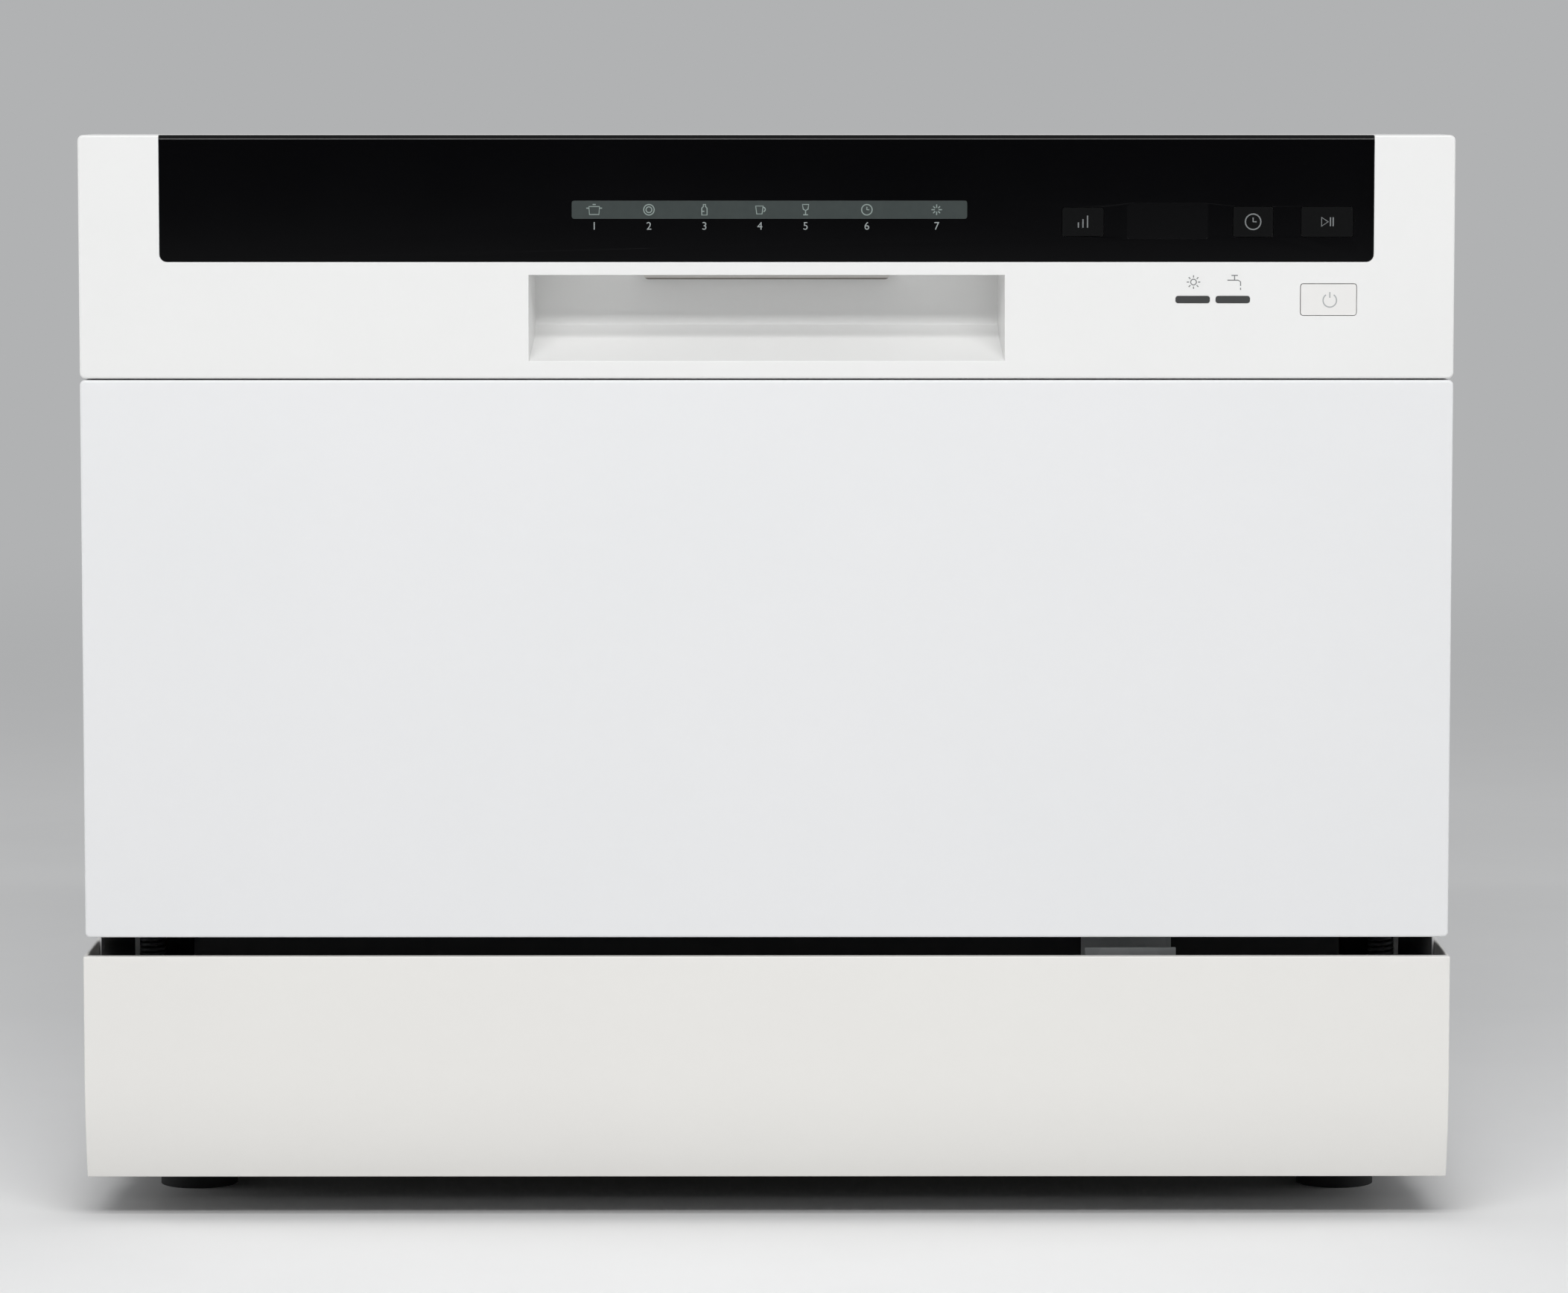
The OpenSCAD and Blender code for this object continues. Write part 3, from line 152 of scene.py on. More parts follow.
bmesh.ops.create_circle(bm, cap_ends=True, segments=64, radius=paper_r)
mesh_object("studio_floor", bm, paper)

world = bpy.data.worlds.new("studio")
world.use_nodes = True
scene.world = world
tree = world.node_tree
direction = add(tree, "SeparateXYZ", {"Vector": add(tree, "TexCoord").outputs["Generated"]})
# the dim stretch lies straight in front, and is soft at its edge
dim_front = add(tree, "MapRange", {"Value": direction.outputs["Y"], "From Min": -0.985,
                                   "From Max": -0.93})
rays = add(tree, "LightPath").outputs
mirrored = add(tree, "Math", {0: rays["Is Glossy Ray"], 1: rays["Is Transmission Ray"]},
               operation="MAXIMUM")
round_about = add(tree, "MixRGB", {"Fac": mirrored.outputs["Value"], "Color1": room_light,
                                   "Color2": surround})
light = add(tree, "MixRGB", {"Fac": dim_front.outputs["Result"], "Color1": linear("#2c2d2f"),
                             "Color2": round_about.outputs["Color"]})
seen = add(tree, "MixRGB", {"Fac": rays["Is Camera Ray"], "Color1": light.outputs["Color"],
                            "Color2": surround})
wire(tree.nodes["Background"], {"Color": seen.outputs["Color"], "Strength": 1})


def lamp(name, at, aim, width, height, power):
    """A soft lamp the camera doesn't see; lengths in metres, power in watts"""
    light = bpy.data.objects.new(name, bpy.data.lights.new(name, "AREA"))
    light.data.shape = "RECTANGLE"
    light.data.size = width
    light.data.size_y = height
    light.data.energy = power
    light.visible_camera = False
    light.location = at
    light.rotation_euler = (Vector(aim) - Vector(at)).to_track_quat("-Z", "Y").to_euler()
    scene.collection.objects.link(light)


fascia_middle, machine_middle = (0, -0.25, 0.36), (0, 0, 0.25)
lamp("key_above_front", (0, -1.918, 1.464), fascia_middle, 2.2, 0.2, 17.4)
lamp("steep_above_front", (0, -1.7, 1.88), fascia_middle, 2.2, 0.15, 15.6)
lamp("fill_left", (-2.4, 0, 0.9), machine_middle, 1.2, 1.6, 8.5)
lamp("fill_right", (2.4, 0, 0.9), machine_middle, 1.2, 1.6, 8.5)
scene.view_settings.view_transform = "Standard"


# ---------------------------------------------------------------- outer cabinet
# One sheet of zinc-plated steel is bent down over the top and both sides, and turned in
# round the front. It is powder coated white and baked, which leaves a faint orange peel.
def powder_coat(name, low, high):
    """Baked powder coat, with an orange peel about 1.5 mm across"""
    return finish(name, low, high, 120 * MM, {"Roughness": 0.34, "IOR": 1.5},
                  grain=1.5 * MM, fine=1, depth=0.02 * MM, strength=0.25)


def ride_as(obj, body, slot, *nodes):
    """The piece rides on a body and stands for some CAD nodes; its slot is not used"""
    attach(obj, body)
    if nodes:
        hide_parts(*nodes)


def corner(x, z, radius, first, steps=6):
    """Points on a quarter circle about (x, z), from an angle in degrees"""
    turns = [math.radians(first + 90 * i / steps) for i in range(steps + 1)]
    return [(x + radius * math.cos(a), z + radius * math.sin(a)) for a in turns]


def box_mesh(bm, lo, hi):
    made = bmesh.ops.create_cube(bm, size=1)["verts"]
    size = Vector(hi) - Vector(lo)
    bmesh.ops.scale(bm, vec=size, verts=made)
    bmesh.ops.translate(bm, vec=Vector(lo) + size / 2, verts=made)


def both_sides(inner, outer, low, high):
    """Two boxes, left and right: x from inner to outer, and (y, z) from low to high"""
    return [((-outer, *low), (-inner, *high)), ((inner, *low), (outer, *high))]


def combine(obj, bm, operation="DIFFERENCE"):
    """Cuts a bmesh out of an object, or joins it on, for good"""
    tool = mesh_object("tool", bm, obj.data.materials[0])
    modifier = obj.modifiers.new("combine", "BOOLEAN")
    modifier.object = tool
    modifier.operation = operation
    modifier.solver = "EXACT"
    modifier.use_self = True
    evaluated = obj.evaluated_get(bpy.context.evaluated_depsgraph_get())
    mesh = bpy.data.meshes.new_from_object(evaluated)
    smooth_by_angle(mesh)
    obj.modifiers.clear()
    obj.data = mesh
    bpy.data.objects.remove(tool)


def carve(obj, *boxes, operation="DIFFERENCE"):
    """Cuts boxes, each from a low to a high corner, out of an object, or joins them on"""
    bm = bmesh.new()
    for box_lo, box_hi in boxes:
        box_mesh(bm, box_lo, box_hi)
    combine(obj, bm, operation)


def ease(obj, width):
    """Breaks the sharp edges of a piece, as a press tool or a mould does"""
    weld = obj.modifiers.new("weld", "WELD")
    weld.merge_threshold = 1e-6
    bevel = obj.modifiers.new("bevel", "BEVEL")
    bevel.width = width
    bevel.segments = 2
    bevel.limit_method = "ANGLE"
    bevel.angle_limit = math.radians(40)
    bevel.use_clamp_overlap = True
    obj.modifiers.new("even", "WEIGHTED_NORMAL").keep_sharp = False


cabinet_paint = powder_coat("white powder coat on the cabinet", "#e5e5e6", "#e8e8e8")
lo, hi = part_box("outer_cabinet")
bend_r, fold_r = 3.5 * MM, 1.5 * MM
flange, sheet = 11 * MM, 1 * MM


def wrap_path(inset):
    """The bent sheet seen from the front, set in from its outer face"""
    x, z = hi.x - inset, hi.z - inset
    r = max(bend_r - inset, 0.2 * MM)
    return [(x, lo.z)] + corner(x - r, z - r, r, 0) + corner(r - x, z - r, r, 90) + [(-x, lo.z)]


fold = [(fold_r - y, lo.y + fold_r - x) for x, y in corner(0, 0, fold_r, 0, 4)[::-1]]
bm = bmesh.new()
rows = [[bm.verts.new((x, y, z)) for x, z in wrap_path(inset)]
        for inset, y in [(0, hi.y)] + fold + [(flange, lo.y)]]
for one, two in zip(rows, rows[1:]):
    for i in range(len(one) - 1):
        bm.faces.new((one[i], one[i + 1], two[i + 1], two[i]))
wrap = mesh_object("cabinet_wrap", bm, cabinet_paint)
thick = wrap.modifiers.new("sheet", "SOLIDIFY")
thick.thickness = sheet
thick.offset = -1
# a notch for the latch hook; behind the base panel the turned-in edge stops short
latch_half, base_panel_top = 12 * MM, 118 * MM
carve(wrap, ((-latch_half, lo.y - sheet, hi.z - flange - 2 * sheet),
             (latch_half, lo.y + 3 * sheet, hi.z - 2 * sheet)),
      *both_sides(hi.x - flange - 1 * MM, hi.x - sheet, (lo.y - sheet, lo.z - 1 * MM),
                  (lo.y + sheet + fold_r, base_panel_top)))
ride_as(wrap, "cabinet", "painted_steel", "outer_cabinet")


# ---------------------------------------------------------------- rear panel
# A plain sheet of hot-dip galvanised steel, screwed on behind. The zinc freezes in
# crystals, so its grey is broken into flat spangles that shine unevenly.
def galvanise(name, low, high, spangle, values):
    zinc, tree, shader, where = start(name)
    crystals = add(tree, "TexVoronoi", {"Vector": where, "Scale": 1 / spangle, "Randomness": 1})
    pick = add(tree, "SeparateXYZ", {"Vector": crystals.outputs["Color"]})
    tone = add(tree, "MixRGB", {"Fac": pick.outputs["X"], "Color1": linear(low),
                                "Color2": linear(high)})
    gloss = add(tree, "MapRange", {"Value": pick.outputs["Y"], "To Min": 0.38, "To Max": 0.55})
    wire(shader, {"Base Color": tone.outputs["Color"], "Roughness": gloss.outputs["Result"],
                  **values})
    return zinc


def dress(material, *nodes, edge=0.4 * MM):
    """Gives CAD nodes a material, and eases their sharp edges"""
    for name in nodes:
        for slot in cad[name].material_slots:
            slot.material = material
        if edge:
            ease(cad[name], edge)


def loft(bm, rings, loop=True, ends=(False, False)):
    """Skins a row of rings that each have as many points, and closes either end"""
    rows = [[bm.verts.new(p) for p in ring] for ring in rings]
    for one, two in zip(rows, rows[1:]):
        for i in range(len(one) if loop else len(one) - 1):
            j = (i + 1) % len(one)
            bm.faces.new((one[i], one[j], two[j], two[i]))
    for row, closed in ((rows[0], ends[0]), (rows[-1], ends[1])):
        if closed:
            bm.faces.new(row)


def bend(corners, radius, closed=False, steps=6):
    """A path through some corners, each of them rounded to a radius"""
    corners = [Vector(c) for c in corners]
    path = []
    for i, c in enumerate(corners):
        if not closed and i in (0, len(corners) - 1):
            path.append(c)
            continue
        to_last = (corners[i - 1] - c).normalized()
        to_next = (corners[(i + 1) % len(corners)] - c).normalized()
        half = to_last.angle(to_next) / 2
        cut = radius / math.tan(half)
        middle = c + (to_last + to_next).normalized() * (radius / math.sin(half))
        first, last = c + to_last * cut - middle, c + to_next * cut - middle
        for k in range(steps + 1):
            spoke = first.slerp(last, k / steps)
            path.append(middle + spoke * radius / spoke.length)
    return path


def ring_turns(count, shift=0):
    """Evenly spaced angles once round a circle"""
    return [2 * math.pi * (k + shift) / count for k in range(count)]


def tube(bm, path, radius, sides=10, closed=False, flat=1.0, up=None):
    """Sweeps a round or flattened section along a path, with rounded ends"""
    path = [Vector(p) for p in path]
    n = len(path)
    ahead = [(path[(i + 1) % n if closed else min(i + 1, n - 1)]
              - path[i - 1 if closed else max(i - 1, 0)]).normalized() for i in range(n)]
    side = (Vector(up) if up else ahead[0].orthogonal()).normalized()
    rings = []
    for p, t in zip(path, ahead):
        side = (side - t * side.dot(t)).normalized()
        other = t.cross(side)
        rings.append([p + radius * (math.cos(a) * flat * side + math.sin(a) * other)
                      for a in ring_turns(sides)])
    if closed:
        loft(bm, rings + rings[:1])
        bmesh.ops.remove_doubles(bm, verts=bm.verts, dist=1e-7)
        return
    for end, t in ((0, -ahead[0]), (-1, ahead[-1])):
        caps = [[path[end] + (q - path[end]) * math.cos(a) + t * radius * math.sin(a)
                 for q in rings[end]] for a in (0.5, 1.0, 1.35)]
        rings = caps[::-1] + rings if end == 0 else rings + caps
    loft(bm, rings, ends=(True, True))


galvanised = galvanise("galvanised sheet", "#c0c3c5", "#cecfd0", 8 * MM, {"Metallic": 1})
dress(galvanised, "rear_panel", edge=0)
lo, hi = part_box("rear_panel")
outer_inset, inner_inset, bead_low = 34 * MM, 74 * MM, lo.z + 270 * MM
bm = bmesh.new()
for inset in (outer_inset, inner_inset):
    x, z0, z1 = hi.x - inset, bead_low + (inset - outer_inset) / 2, hi.z - inset
    tube(bm, bend([(-x, hi.y, z0), (x, hi.y, z0), (x, hi.y, z1), (-x, hi.y, z1)], 18 * MM,
                  closed=True), 5 * MM, closed=True, flat=0.4, up=(0, 1, 0))
ride_as(mesh_object("rear_panel_beads", bm, galvanised), "cabinet", "galvanised")


# ---------------------------------------------------------------- base panel
# One sheet of steel folded back at the top and both ends, with a long roll towards its
# lower edge. It has the same white powder coat as the cabinet, with painted warm light from below.
# the warmer tone is painted warm light from below on the cabinet's white
base_paint = powder_coat("white powder coat on the base", "#e6e4e1", "#e9e8e4")
dress(base_paint, "base_front_panel", edge=0.6 * MM)


# ---------------------------------------------------------------- door skin
# A shallow pan of pressed steel with folded edges, powder coated white under painted cool
# light from above. The flat front has a fine even gloss, and the fold is tight, about a millimetre.
def rounded(half_w, low, high, radius, y, steps=5):
    """A rectangle with round corners, upright at a given depth"""
    r = max(radius, 0.05 * MM)
    arcs = [(half_w - r, high - r, 0), (r - half_w, high - r, 90),
            (r - half_w, low + r, 180), (half_w - r, low + r, 270)]
    return [(x, y, z) for cx, cz, first in arcs for x, z in corner(cx, cz, r, first, steps)]


def pan(half_w, low, high, radius, edge, front, back):
    """A closed pan: an eased front edge, then straight sides to its back"""
    steps, rings = 5, []
    for k in range(steps + 1):
        a = math.radians(90 * k / steps)
        inset, y = edge * (1 - math.sin(a)), front + edge * (1 - math.cos(a))
        rings.append(rounded(half_w - inset, low + inset, high - inset, radius - inset * 0.7, y))
    bm = bmesh.new()
    loft(bm, rings + [rounded(half_w, low, high, radius, back)], ends=(True, True))
    return bm


# the cooler tone is painted cool light from above on the cabinet's white
door_paint = powder_coat("white powder coat on the door", "#e5e6e7", "#e8e8e9")
lo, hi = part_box("door_outer_panel")
skin_t, lip, beyond = 0.8 * MM, 12 * MM, 1 * MM
liner_lo, liner_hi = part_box("door_liner")
skin = mesh_object("door_skin", pan(hi.x, lo.z, hi.z, 2 * MM, 1 * MM, lo.y, hi.y), door_paint)
combine(skin, pan(hi.x - skin_t, lo.z + skin_t, hi.z - skin_t, 1.2 * MM, 0.3 * MM,
                  lo.y + skin_t, hi.y + beyond))
# the top is open behind its lip, and the lower corners make room for the hinges
carve(skin, ((skin_t - hi.x, lo.y + lip, hi.z - 10 * MM),
             (hi.x - skin_t, hi.y + beyond, hi.z + beyond)),
      *both_sides(liner_hi.x + 1.5 * MM, hi.x - skin_t, (lo.y + 3.2 * MM, lo.z - beyond),
                  (hi.y + 2 * MM, lo.z + 8 * MM)))
# both sides turn in again at the back, down to the room left for the hinges
gap_x, hinge_top, turned_t = liner_hi.x + 0.5 * MM, 152 * MM, 0.8 * MM
carve(skin, *both_sides(gap_x, hi.x - 0.1 * MM, (hi.y - turned_t, hinge_top),
                        (hi.y - 0.01 * MM, hi.z - 0.3 * MM)), operation="UNION")
ride_as(skin, "door", "painted_steel", "door_outer_panel")


# ---------------------------------------------------------------- control fascia
# Injection-moulded white ABS with a satin skin, screwed to the top of the door. The
# handle pocket is drafted for the mould, with a bevel where its floor meets its back.
def moulded(name, low, high, roughness=0.4, grain=0.6 * MM, relief=0.012 * MM):
    """Moulded plastic: an even colour that drifts a little, over a fine spark-eroded grain"""
    return finish(name, low, high, 45 * MM, {"Roughness": roughness, "IOR": 1.53},
                  grain=grain, depth=relief)


def slot_mesh(bm, at, grow, near, far):
    """A round-cornered prism through a control at [x, z, width, height]"""
    x, z, w, h = (v * MM for v in at)
    ring = [(x + px, z + pz)
            for px, _, pz in rounded(w / 2 + grow, -h / 2 - grow, h / 2 + grow, 1 * MM + grow, 0)]
    loft(bm, [[(px, y, pz) for px, pz in ring] for y in (near, far)], ends=(True, True))


white_abs = moulded("white moulded ABS", "#e8e8e7", "#ebebea", 0.36)
lo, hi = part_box("control_fascia")
wall, front = 2 * MM, lo.y + 3.5 * MM
pocket_w, pocket_low, pocket_top = 95 * MM, 348 * MM, 382.3 * MM
pocket_back, paddle_y, paddle_half = lo.y + 29 * MM, lo.y + 17 * MM, 51.5 * MM
# each control is [x, z, width, height] in millimetres
buttons = {"program": [126, 403.5, 16.4, 11.3], "delay": [193.8, 403.5, 15.8, 11.9],
           "start": [223.3, 403.5, 20.6, 11.9], "power": [224.1, 372.5, 22.1, 12.4]}
lenses = [[159.7, 403.8, 32.3, 14.3], [1.1, 408.3, 157.5, 7.2],
          [169.9, 372.5, 13.6, 2.8], [185.9, 372.5, 13.6, 2.8]]
fascia = mesh_object("fascia_moulding", pan(hi.x, lo.z, hi.z, 2.3 * MM, 1 * MM, lo.y, hi.y),
                     white_abs)
carve(fascia, ((wall - hi.x, front, lo.z - beyond), (hi.x - wall, hi.y - 2.1 * MM, hi.z - wall)))
carve(fascia, ((-gap_x, front, lo.z - beyond), (gap_x, hi.y + beyond, hi.z - 13.5 * MM)))
carve(fascia, ((-pocket_w - wall, front - 0.5 * MM, pocket_low - wall),
               (pocket_w + wall, pocket_back + wall, pocket_top + wall)), operation="UNION")
# the pocket narrows by its draft, and has a sloped floor and a bevelled root
draft, deep, tall = 1.7 * MM, 29, (pocket_top - pocket_low) / MM
profile = [(-1, 0), (0, 0), (24, 8.4), (deep, 13.6), (deep, tall), (-1, tall)]
bm = bmesh.new()
loft(bm, [[(side * (pocket_w - draft * max(y, 0) / deep), lo.y + y * MM, pocket_low + z * MM)
           for y, z in profile] for side in (-1, 1)], ends=(True, True))
combine(fascia, bm)
# openings for the paddle and the latch hook, and the step the window is bonded into
bm = bmesh.new()
box_mesh(bm, (-paddle_half, paddle_y, pocket_top - 1 * MM),
         (paddle_half, pocket_back - 0.5 * MM, pocket_top + wall + 1 * MM))
box_mesh(bm, (-8 * MM, hi.y - 3.1 * MM, 415.5 * MM), (8 * MM, hi.y + beyond, 431 * MM))
loft(bm, [rounded(242 * MM, 387.5 * MM, hi.z + 10 * MM, 3 * MM, y)
          for y in (lo.y - 5 * MM, lo.y + 2 * MM)], ends=(True, True))
combine(fascia, bm)
bm = bmesh.new()
for places, air in ((buttons.values(), 0.25 * MM), (lenses, 0.03 * MM)):
    for at in places:
        slot_mesh(bm, at, air, lo.y - beyond, front + beyond)
combine(fascia, bm)
ease(fascia, 0.3 * MM)
ride_as(fascia, "door", "white_abs", "control_fascia")


# ---------------------------------------------------------------- control window
# A plate of black acrylic (PMMA) bonded into the fascia, polished and rounded over at the
# top. It is so dark and smooth that it shows only a dim, sharp reflection.
acrylic, tree, shader, where = start("polished black acrylic")
haze = add(tree, "TexNoise", {"Vector": where, "Scale": 1 / (70 * MM), "Detail": 3})
gloss = add(tree, "MapRange", {"Value": haze.outputs["Fac"], "To Min": 0.05, "To Max": 0.11})
wire(shader, {"Base Color": linear("#050506"), "Roughness": gloss.outputs["Result"], "IOR": 1.49,
              "Specular IOR Level": 0.2})
dress(acrylic, "control_window", edge=0.3 * MM)
key_black = moulded("black moulded ABS", "#060607", "#090a0a", 0.22)
wire(key_black.node_tree.nodes["Principled BSDF"], {"Specular IOR Level": 0.22})
dress(key_black, "program_button", "delay_button", "start_button", edge=0.35 * MM)
dress(moulded("white key ABS", "#e6e5e3", "#e9e8e6", 0.3), "power_button", edge=0.35 * MM)


# ---------------------------------------------------------------- lenses
# Smoke-tinted polycarbonate, clear all through, over a pale film that shows it as a dull
# grey-green. The display behind its lens is off, so it is nearly as black as the window.
tint, tree, shader, where = start("smoked polycarbonate")
across = add(tree, "SeparateXYZ", {"Vector": where})
# the display lies to the right of the program strip
over_display = add(tree, "Math", {0: across.outputs["X"], 1: 120 * MM}, operation="GREATER_THAN")
film = add(tree, "TexNoise", {"Vector": where, "Scale": 1 / (3 * MM), "Detail": 2})
backed = add(tree, "MixRGB", {"Fac": film.outputs["Fac"], "Color1": linear("#3c4241"),
                              "Color2": linear("#424847")})
tone = add(tree, "MixRGB", {"Fac": over_display.outputs["Value"],
                            "Color1": backed.outputs["Color"], "Color2": linear("#050506")})
wire(shader, {"Base Color": tone.outputs["Color"], "Roughness": 0.12, "IOR": 1.58,
              "Specular IOR Level": 0.2})
dress(tint, "control_lenses", edge=0.2 * MM)
dress(moulded("smoked lamp lens", "#3d3e3e", "#464747", 0.2), "indicator_lenses", edge=0.25 * MM)


# ---------------------------------------------------------------- printed marks
# Pad-printed ink a few hundredths of a millimetre thick. The signs are general ones: dish
# loads and plain numbers for the programs, a clock, a bar chart, start and pause, on and off.
def ink(name, low, high):
    """Matt ink whose tone varies with how the pad laid it down"""
    return finish(name, low, high, 0.8 * MM, {"Roughness": 0.55, "IOR": 1.5})


def arc(x, z, r, first=0, last=360, steps=18):
    turns = [math.radians(first + (last - first) * k / steps) for k in range(steps + 1)]
    return [(x + r * math.cos(a), z + r * math.sin(a)) for a in turns]


def stroke(bm, line, at, scale, y, width):
    """A flat ribbon of ink along a line of points"""
    points = [Vector((at[0] + px * scale, 0, at[1] + pz * scale)) * MM for px, pz in line]
    shut = (points[0] - points[-1]).length < 1e-7
    left, right = [], []
    for i, p in enumerate(points):
        before = points[i - 1] if i else (points[-2] if shut else p)
        after = points[i + 1] if i + 1 < len(points) else (points[1] if shut else p)
        ahead = (after - before).normalized()
        across = Vector((-ahead.z, 0, ahead.x)) * width * MM / 2
        left.append((p.x + across.x, y, p.z + across.z))
        right.append((p.x - across.x, y, p.z - across.z))
    loft(bm, [left, right], loop=False)


def lettering(bm, text, at, size, y):
    """Plain figures, centred on a point"""
    curve = bpy.data.curves.new("figures", "FONT")
    curve.body, curve.size, curve.align_x, curve.align_y = text, size * MM, "CENTER", "CENTER"
    obj = bpy.data.objects.new("figures", curve)
    scene.collection.objects.link(obj)
    bpy.context.view_layer.update()
    evaluated = obj.evaluated_get(bpy.context.evaluated_depsgraph_get())
    mesh = bpy.data.meshes.new_from_object(evaluated)
    for v in mesh.vertices:
        v.co = (at[0] * MM + v.co.x, y, at[1] * MM + v.co.y)
    bm.from_mesh(mesh)
    bpy.data.objects.remove(obj)
    bpy.data.meshes.remove(mesh)


def shell(obj, thickness):
    """Gives an open surface the thickness of its sheet, for good"""
    solid = obj.modifiers.new("sheet", "SOLIDIFY")
    solid.thickness = abs(thickness)
    solid.offset = math.copysign(1, thickness)
    evaluated = obj.evaluated_get(bpy.context.evaluated_depsgraph_get())
    mesh = bpy.data.meshes.new_from_object(evaluated)
    obj.modifiers.clear()
    obj.data = mesh


def printed(name, material, body, slot, marks, width):
    """Marks as [strokes or figures, (x, z), size] printed on the door's front plane"""
    bm = bmesh.new()
    for lines, at, scale in marks:
        if isinstance(lines, str):
            lettering(bm, lines, at, scale, door_front - ink_t)
            continue
        for i, line in enumerate(lines):
            # every stroke lies a hair over the last one
            stroke(bm, line, at, scale, door_front - ink_t - i * 0.002 * MM, width)
    mesh = bpy.data.meshes.new(name)
    bm.normal_update()
    for face in bm.faces:
        if face.normal.y > 0:
            face.normal_flip()
    bm.to_mesh(mesh)
    bm.free()
    mesh.materials.append(material)
    obj = bpy.data.objects.new(name, mesh)
    scene.collection.objects.link(obj)
    shell(obj, -1.5 * ink_t)
    ride_as(obj, body, slot)


ink_t = 0.04 * MM
door_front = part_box("control_window")[0].y
# each sign is drawn about its middle, at a size of 1
pot = [[(-1, 0.6), (-0.9, -0.9), (0.9, -0.9), (1, 0.6), (-1, 0.6)], [(-1.5, 0.3), (-1, 0.3)],
       [(1, 0.3), (1.5, 0.3)], [(-0.3, 1), (0.3, 1)]]
plate = [arc(0, 0, 1), arc(0, 0, 0.55)]
bottle = [[(-0.5, -1), (-0.5, 0.3), (-0.2, 0.6), (-0.2, 1), (0.2, 1), (0.2, 0.6), (0.5, 0.3),
           (0.5, -1), (-0.5, -1)], [(-0.5, -0.3), (0, -0.3)]]
cup = [[(-0.8, 0.7), (-0.6, -0.8), (0.4, -0.8), (0.6, 0.7), (-0.8, 0.7)],
       arc(0.6, 0.05, 0.42, 100, -80, 8)]
glass = [[(-0.6, 1), (-0.45, 0.1), (0, -0.15), (0.45, 0.1), (0.6, 1), (-0.6, 1)],
         [(0, -0.15), (0, -0.95)], [(-0.45, -0.95), (0.45, -0.95)]]
clock = [arc(0, 0, 1), [(0, 0.55), (0, 0), (0.45, 0)]]
spark = [[(0.35 * dx, 0.35 * dz), (dx, dz)] for dx, dz in ((0, 1), (0, -1), (1, 0), (-1, 0))] + [
    [(0.3 * dx, 0.3 * dz), (0.65 * dx, 0.65 * dz)] for dx in (-1, 1) for dz in (-1, 1)]
tap = [[(-1, 0.2), (0.35, 0.2), (0.65, 0), (0.65, -0.5)], [(-0.1, 0.2), (-0.1, 0.8)],
       [(-0.5, 0.8), (0.3, 0.8)], [(0.65, -0.75), (0.65, -1)]]
sun = [arc(0, 0, 0.42)] + [[(0.66 * math.cos(a), 0.66 * math.sin(a)), (math.cos(a), math.sin(a))]
                           for a in ring_turns(8)]
chart = [[(x, -0.9), (x, top)] for x, top in ((-0.7, -0.1), (0, 0.4), (0.7, 0.95))]
start_pause = [[(-1, -0.8), (-1, 0.8), (0.2, 0), (-1, -0.8)], [(0.6, -0.8), (0.6, 0.8)],
               [(1.1, -0.8), (1.1, 0.8)]]
on_off = [arc(0, -0.1, 0.9, 125, 415), [(0, 0.25), (0, 1)]]
# where the signs and numbers of the program strip stand, in millimetres
strip_z, figures_z = 408.3, 401.7
program_xs = [-68.7, -46.9, -24.8, -2.7, 15.5, 39.9, 67.7]
program_signs = [pot, plate, bottle, cup, glass, clock, spark]
printed("strip_signs", ink("grey-green ink", "#7d8a86", "#8a9692"), "door", "smoked_lens",
        [[lines, (x, strip_z), 2.1] for lines, x in zip(program_signs, program_xs)], 0.42)
printed("program_numbers", ink("mid-grey ink", "#858b8b", "#939999"), "door", "black_acrylic",
        [[str(i + 1), (x, figures_z), 4.4] for i, x in enumerate(program_xs)], 0.4)
dim_ink = ink("dull grey ink", "#6c6f70", "#787b7c")
for name, sign, size in (("program", chart, 2.6), ("delay", clock, 3.1),
                         ("start", start_pause, 2.2)):
    printed(name + "_sign", dim_ink, name + "_button", "black_acrylic",
            [[sign, buttons[name][:2], size]], 0.5)
printed("power_sign", ink("light grey ink", "#a3a5a6", "#b0b2b3"), "power_button", "white_abs",
        [[on_off, (224.6, 372.5), 3.0]], 0.5)
printed("lamp_signs", ink("warm grey ink", "#757677", "#838485"), "door", "white_abs",
        [[sun, (170.2, 379.5), 2.7], [tap, (186.9, 379.6), 3.2]], 0.42)


# ---------------------------------------------------------------- latch
# The lever and its finger paddle are one moulding in white acetal, the housing is glass-
# filled nylon, and the hook is stamped from zinc-plated steel, bright with a faint blue.
acetal = finish("white acetal paddle", "#dedbd7", "#e4e1dd", 1.4 * MM,
                {"Roughness": 0.4, "IOR": 1.48})
tree = acetal.node_tree
shader = tree.nodes["Principled BSDF"]
# the paddle's own colour, above the painted shadow band
paddle_colour = shader.inputs["Base Color"].links[0].from_socket
height = add(tree, "SeparateXYZ", {"Vector": add(tree, "TexCoord").outputs["Object"]})
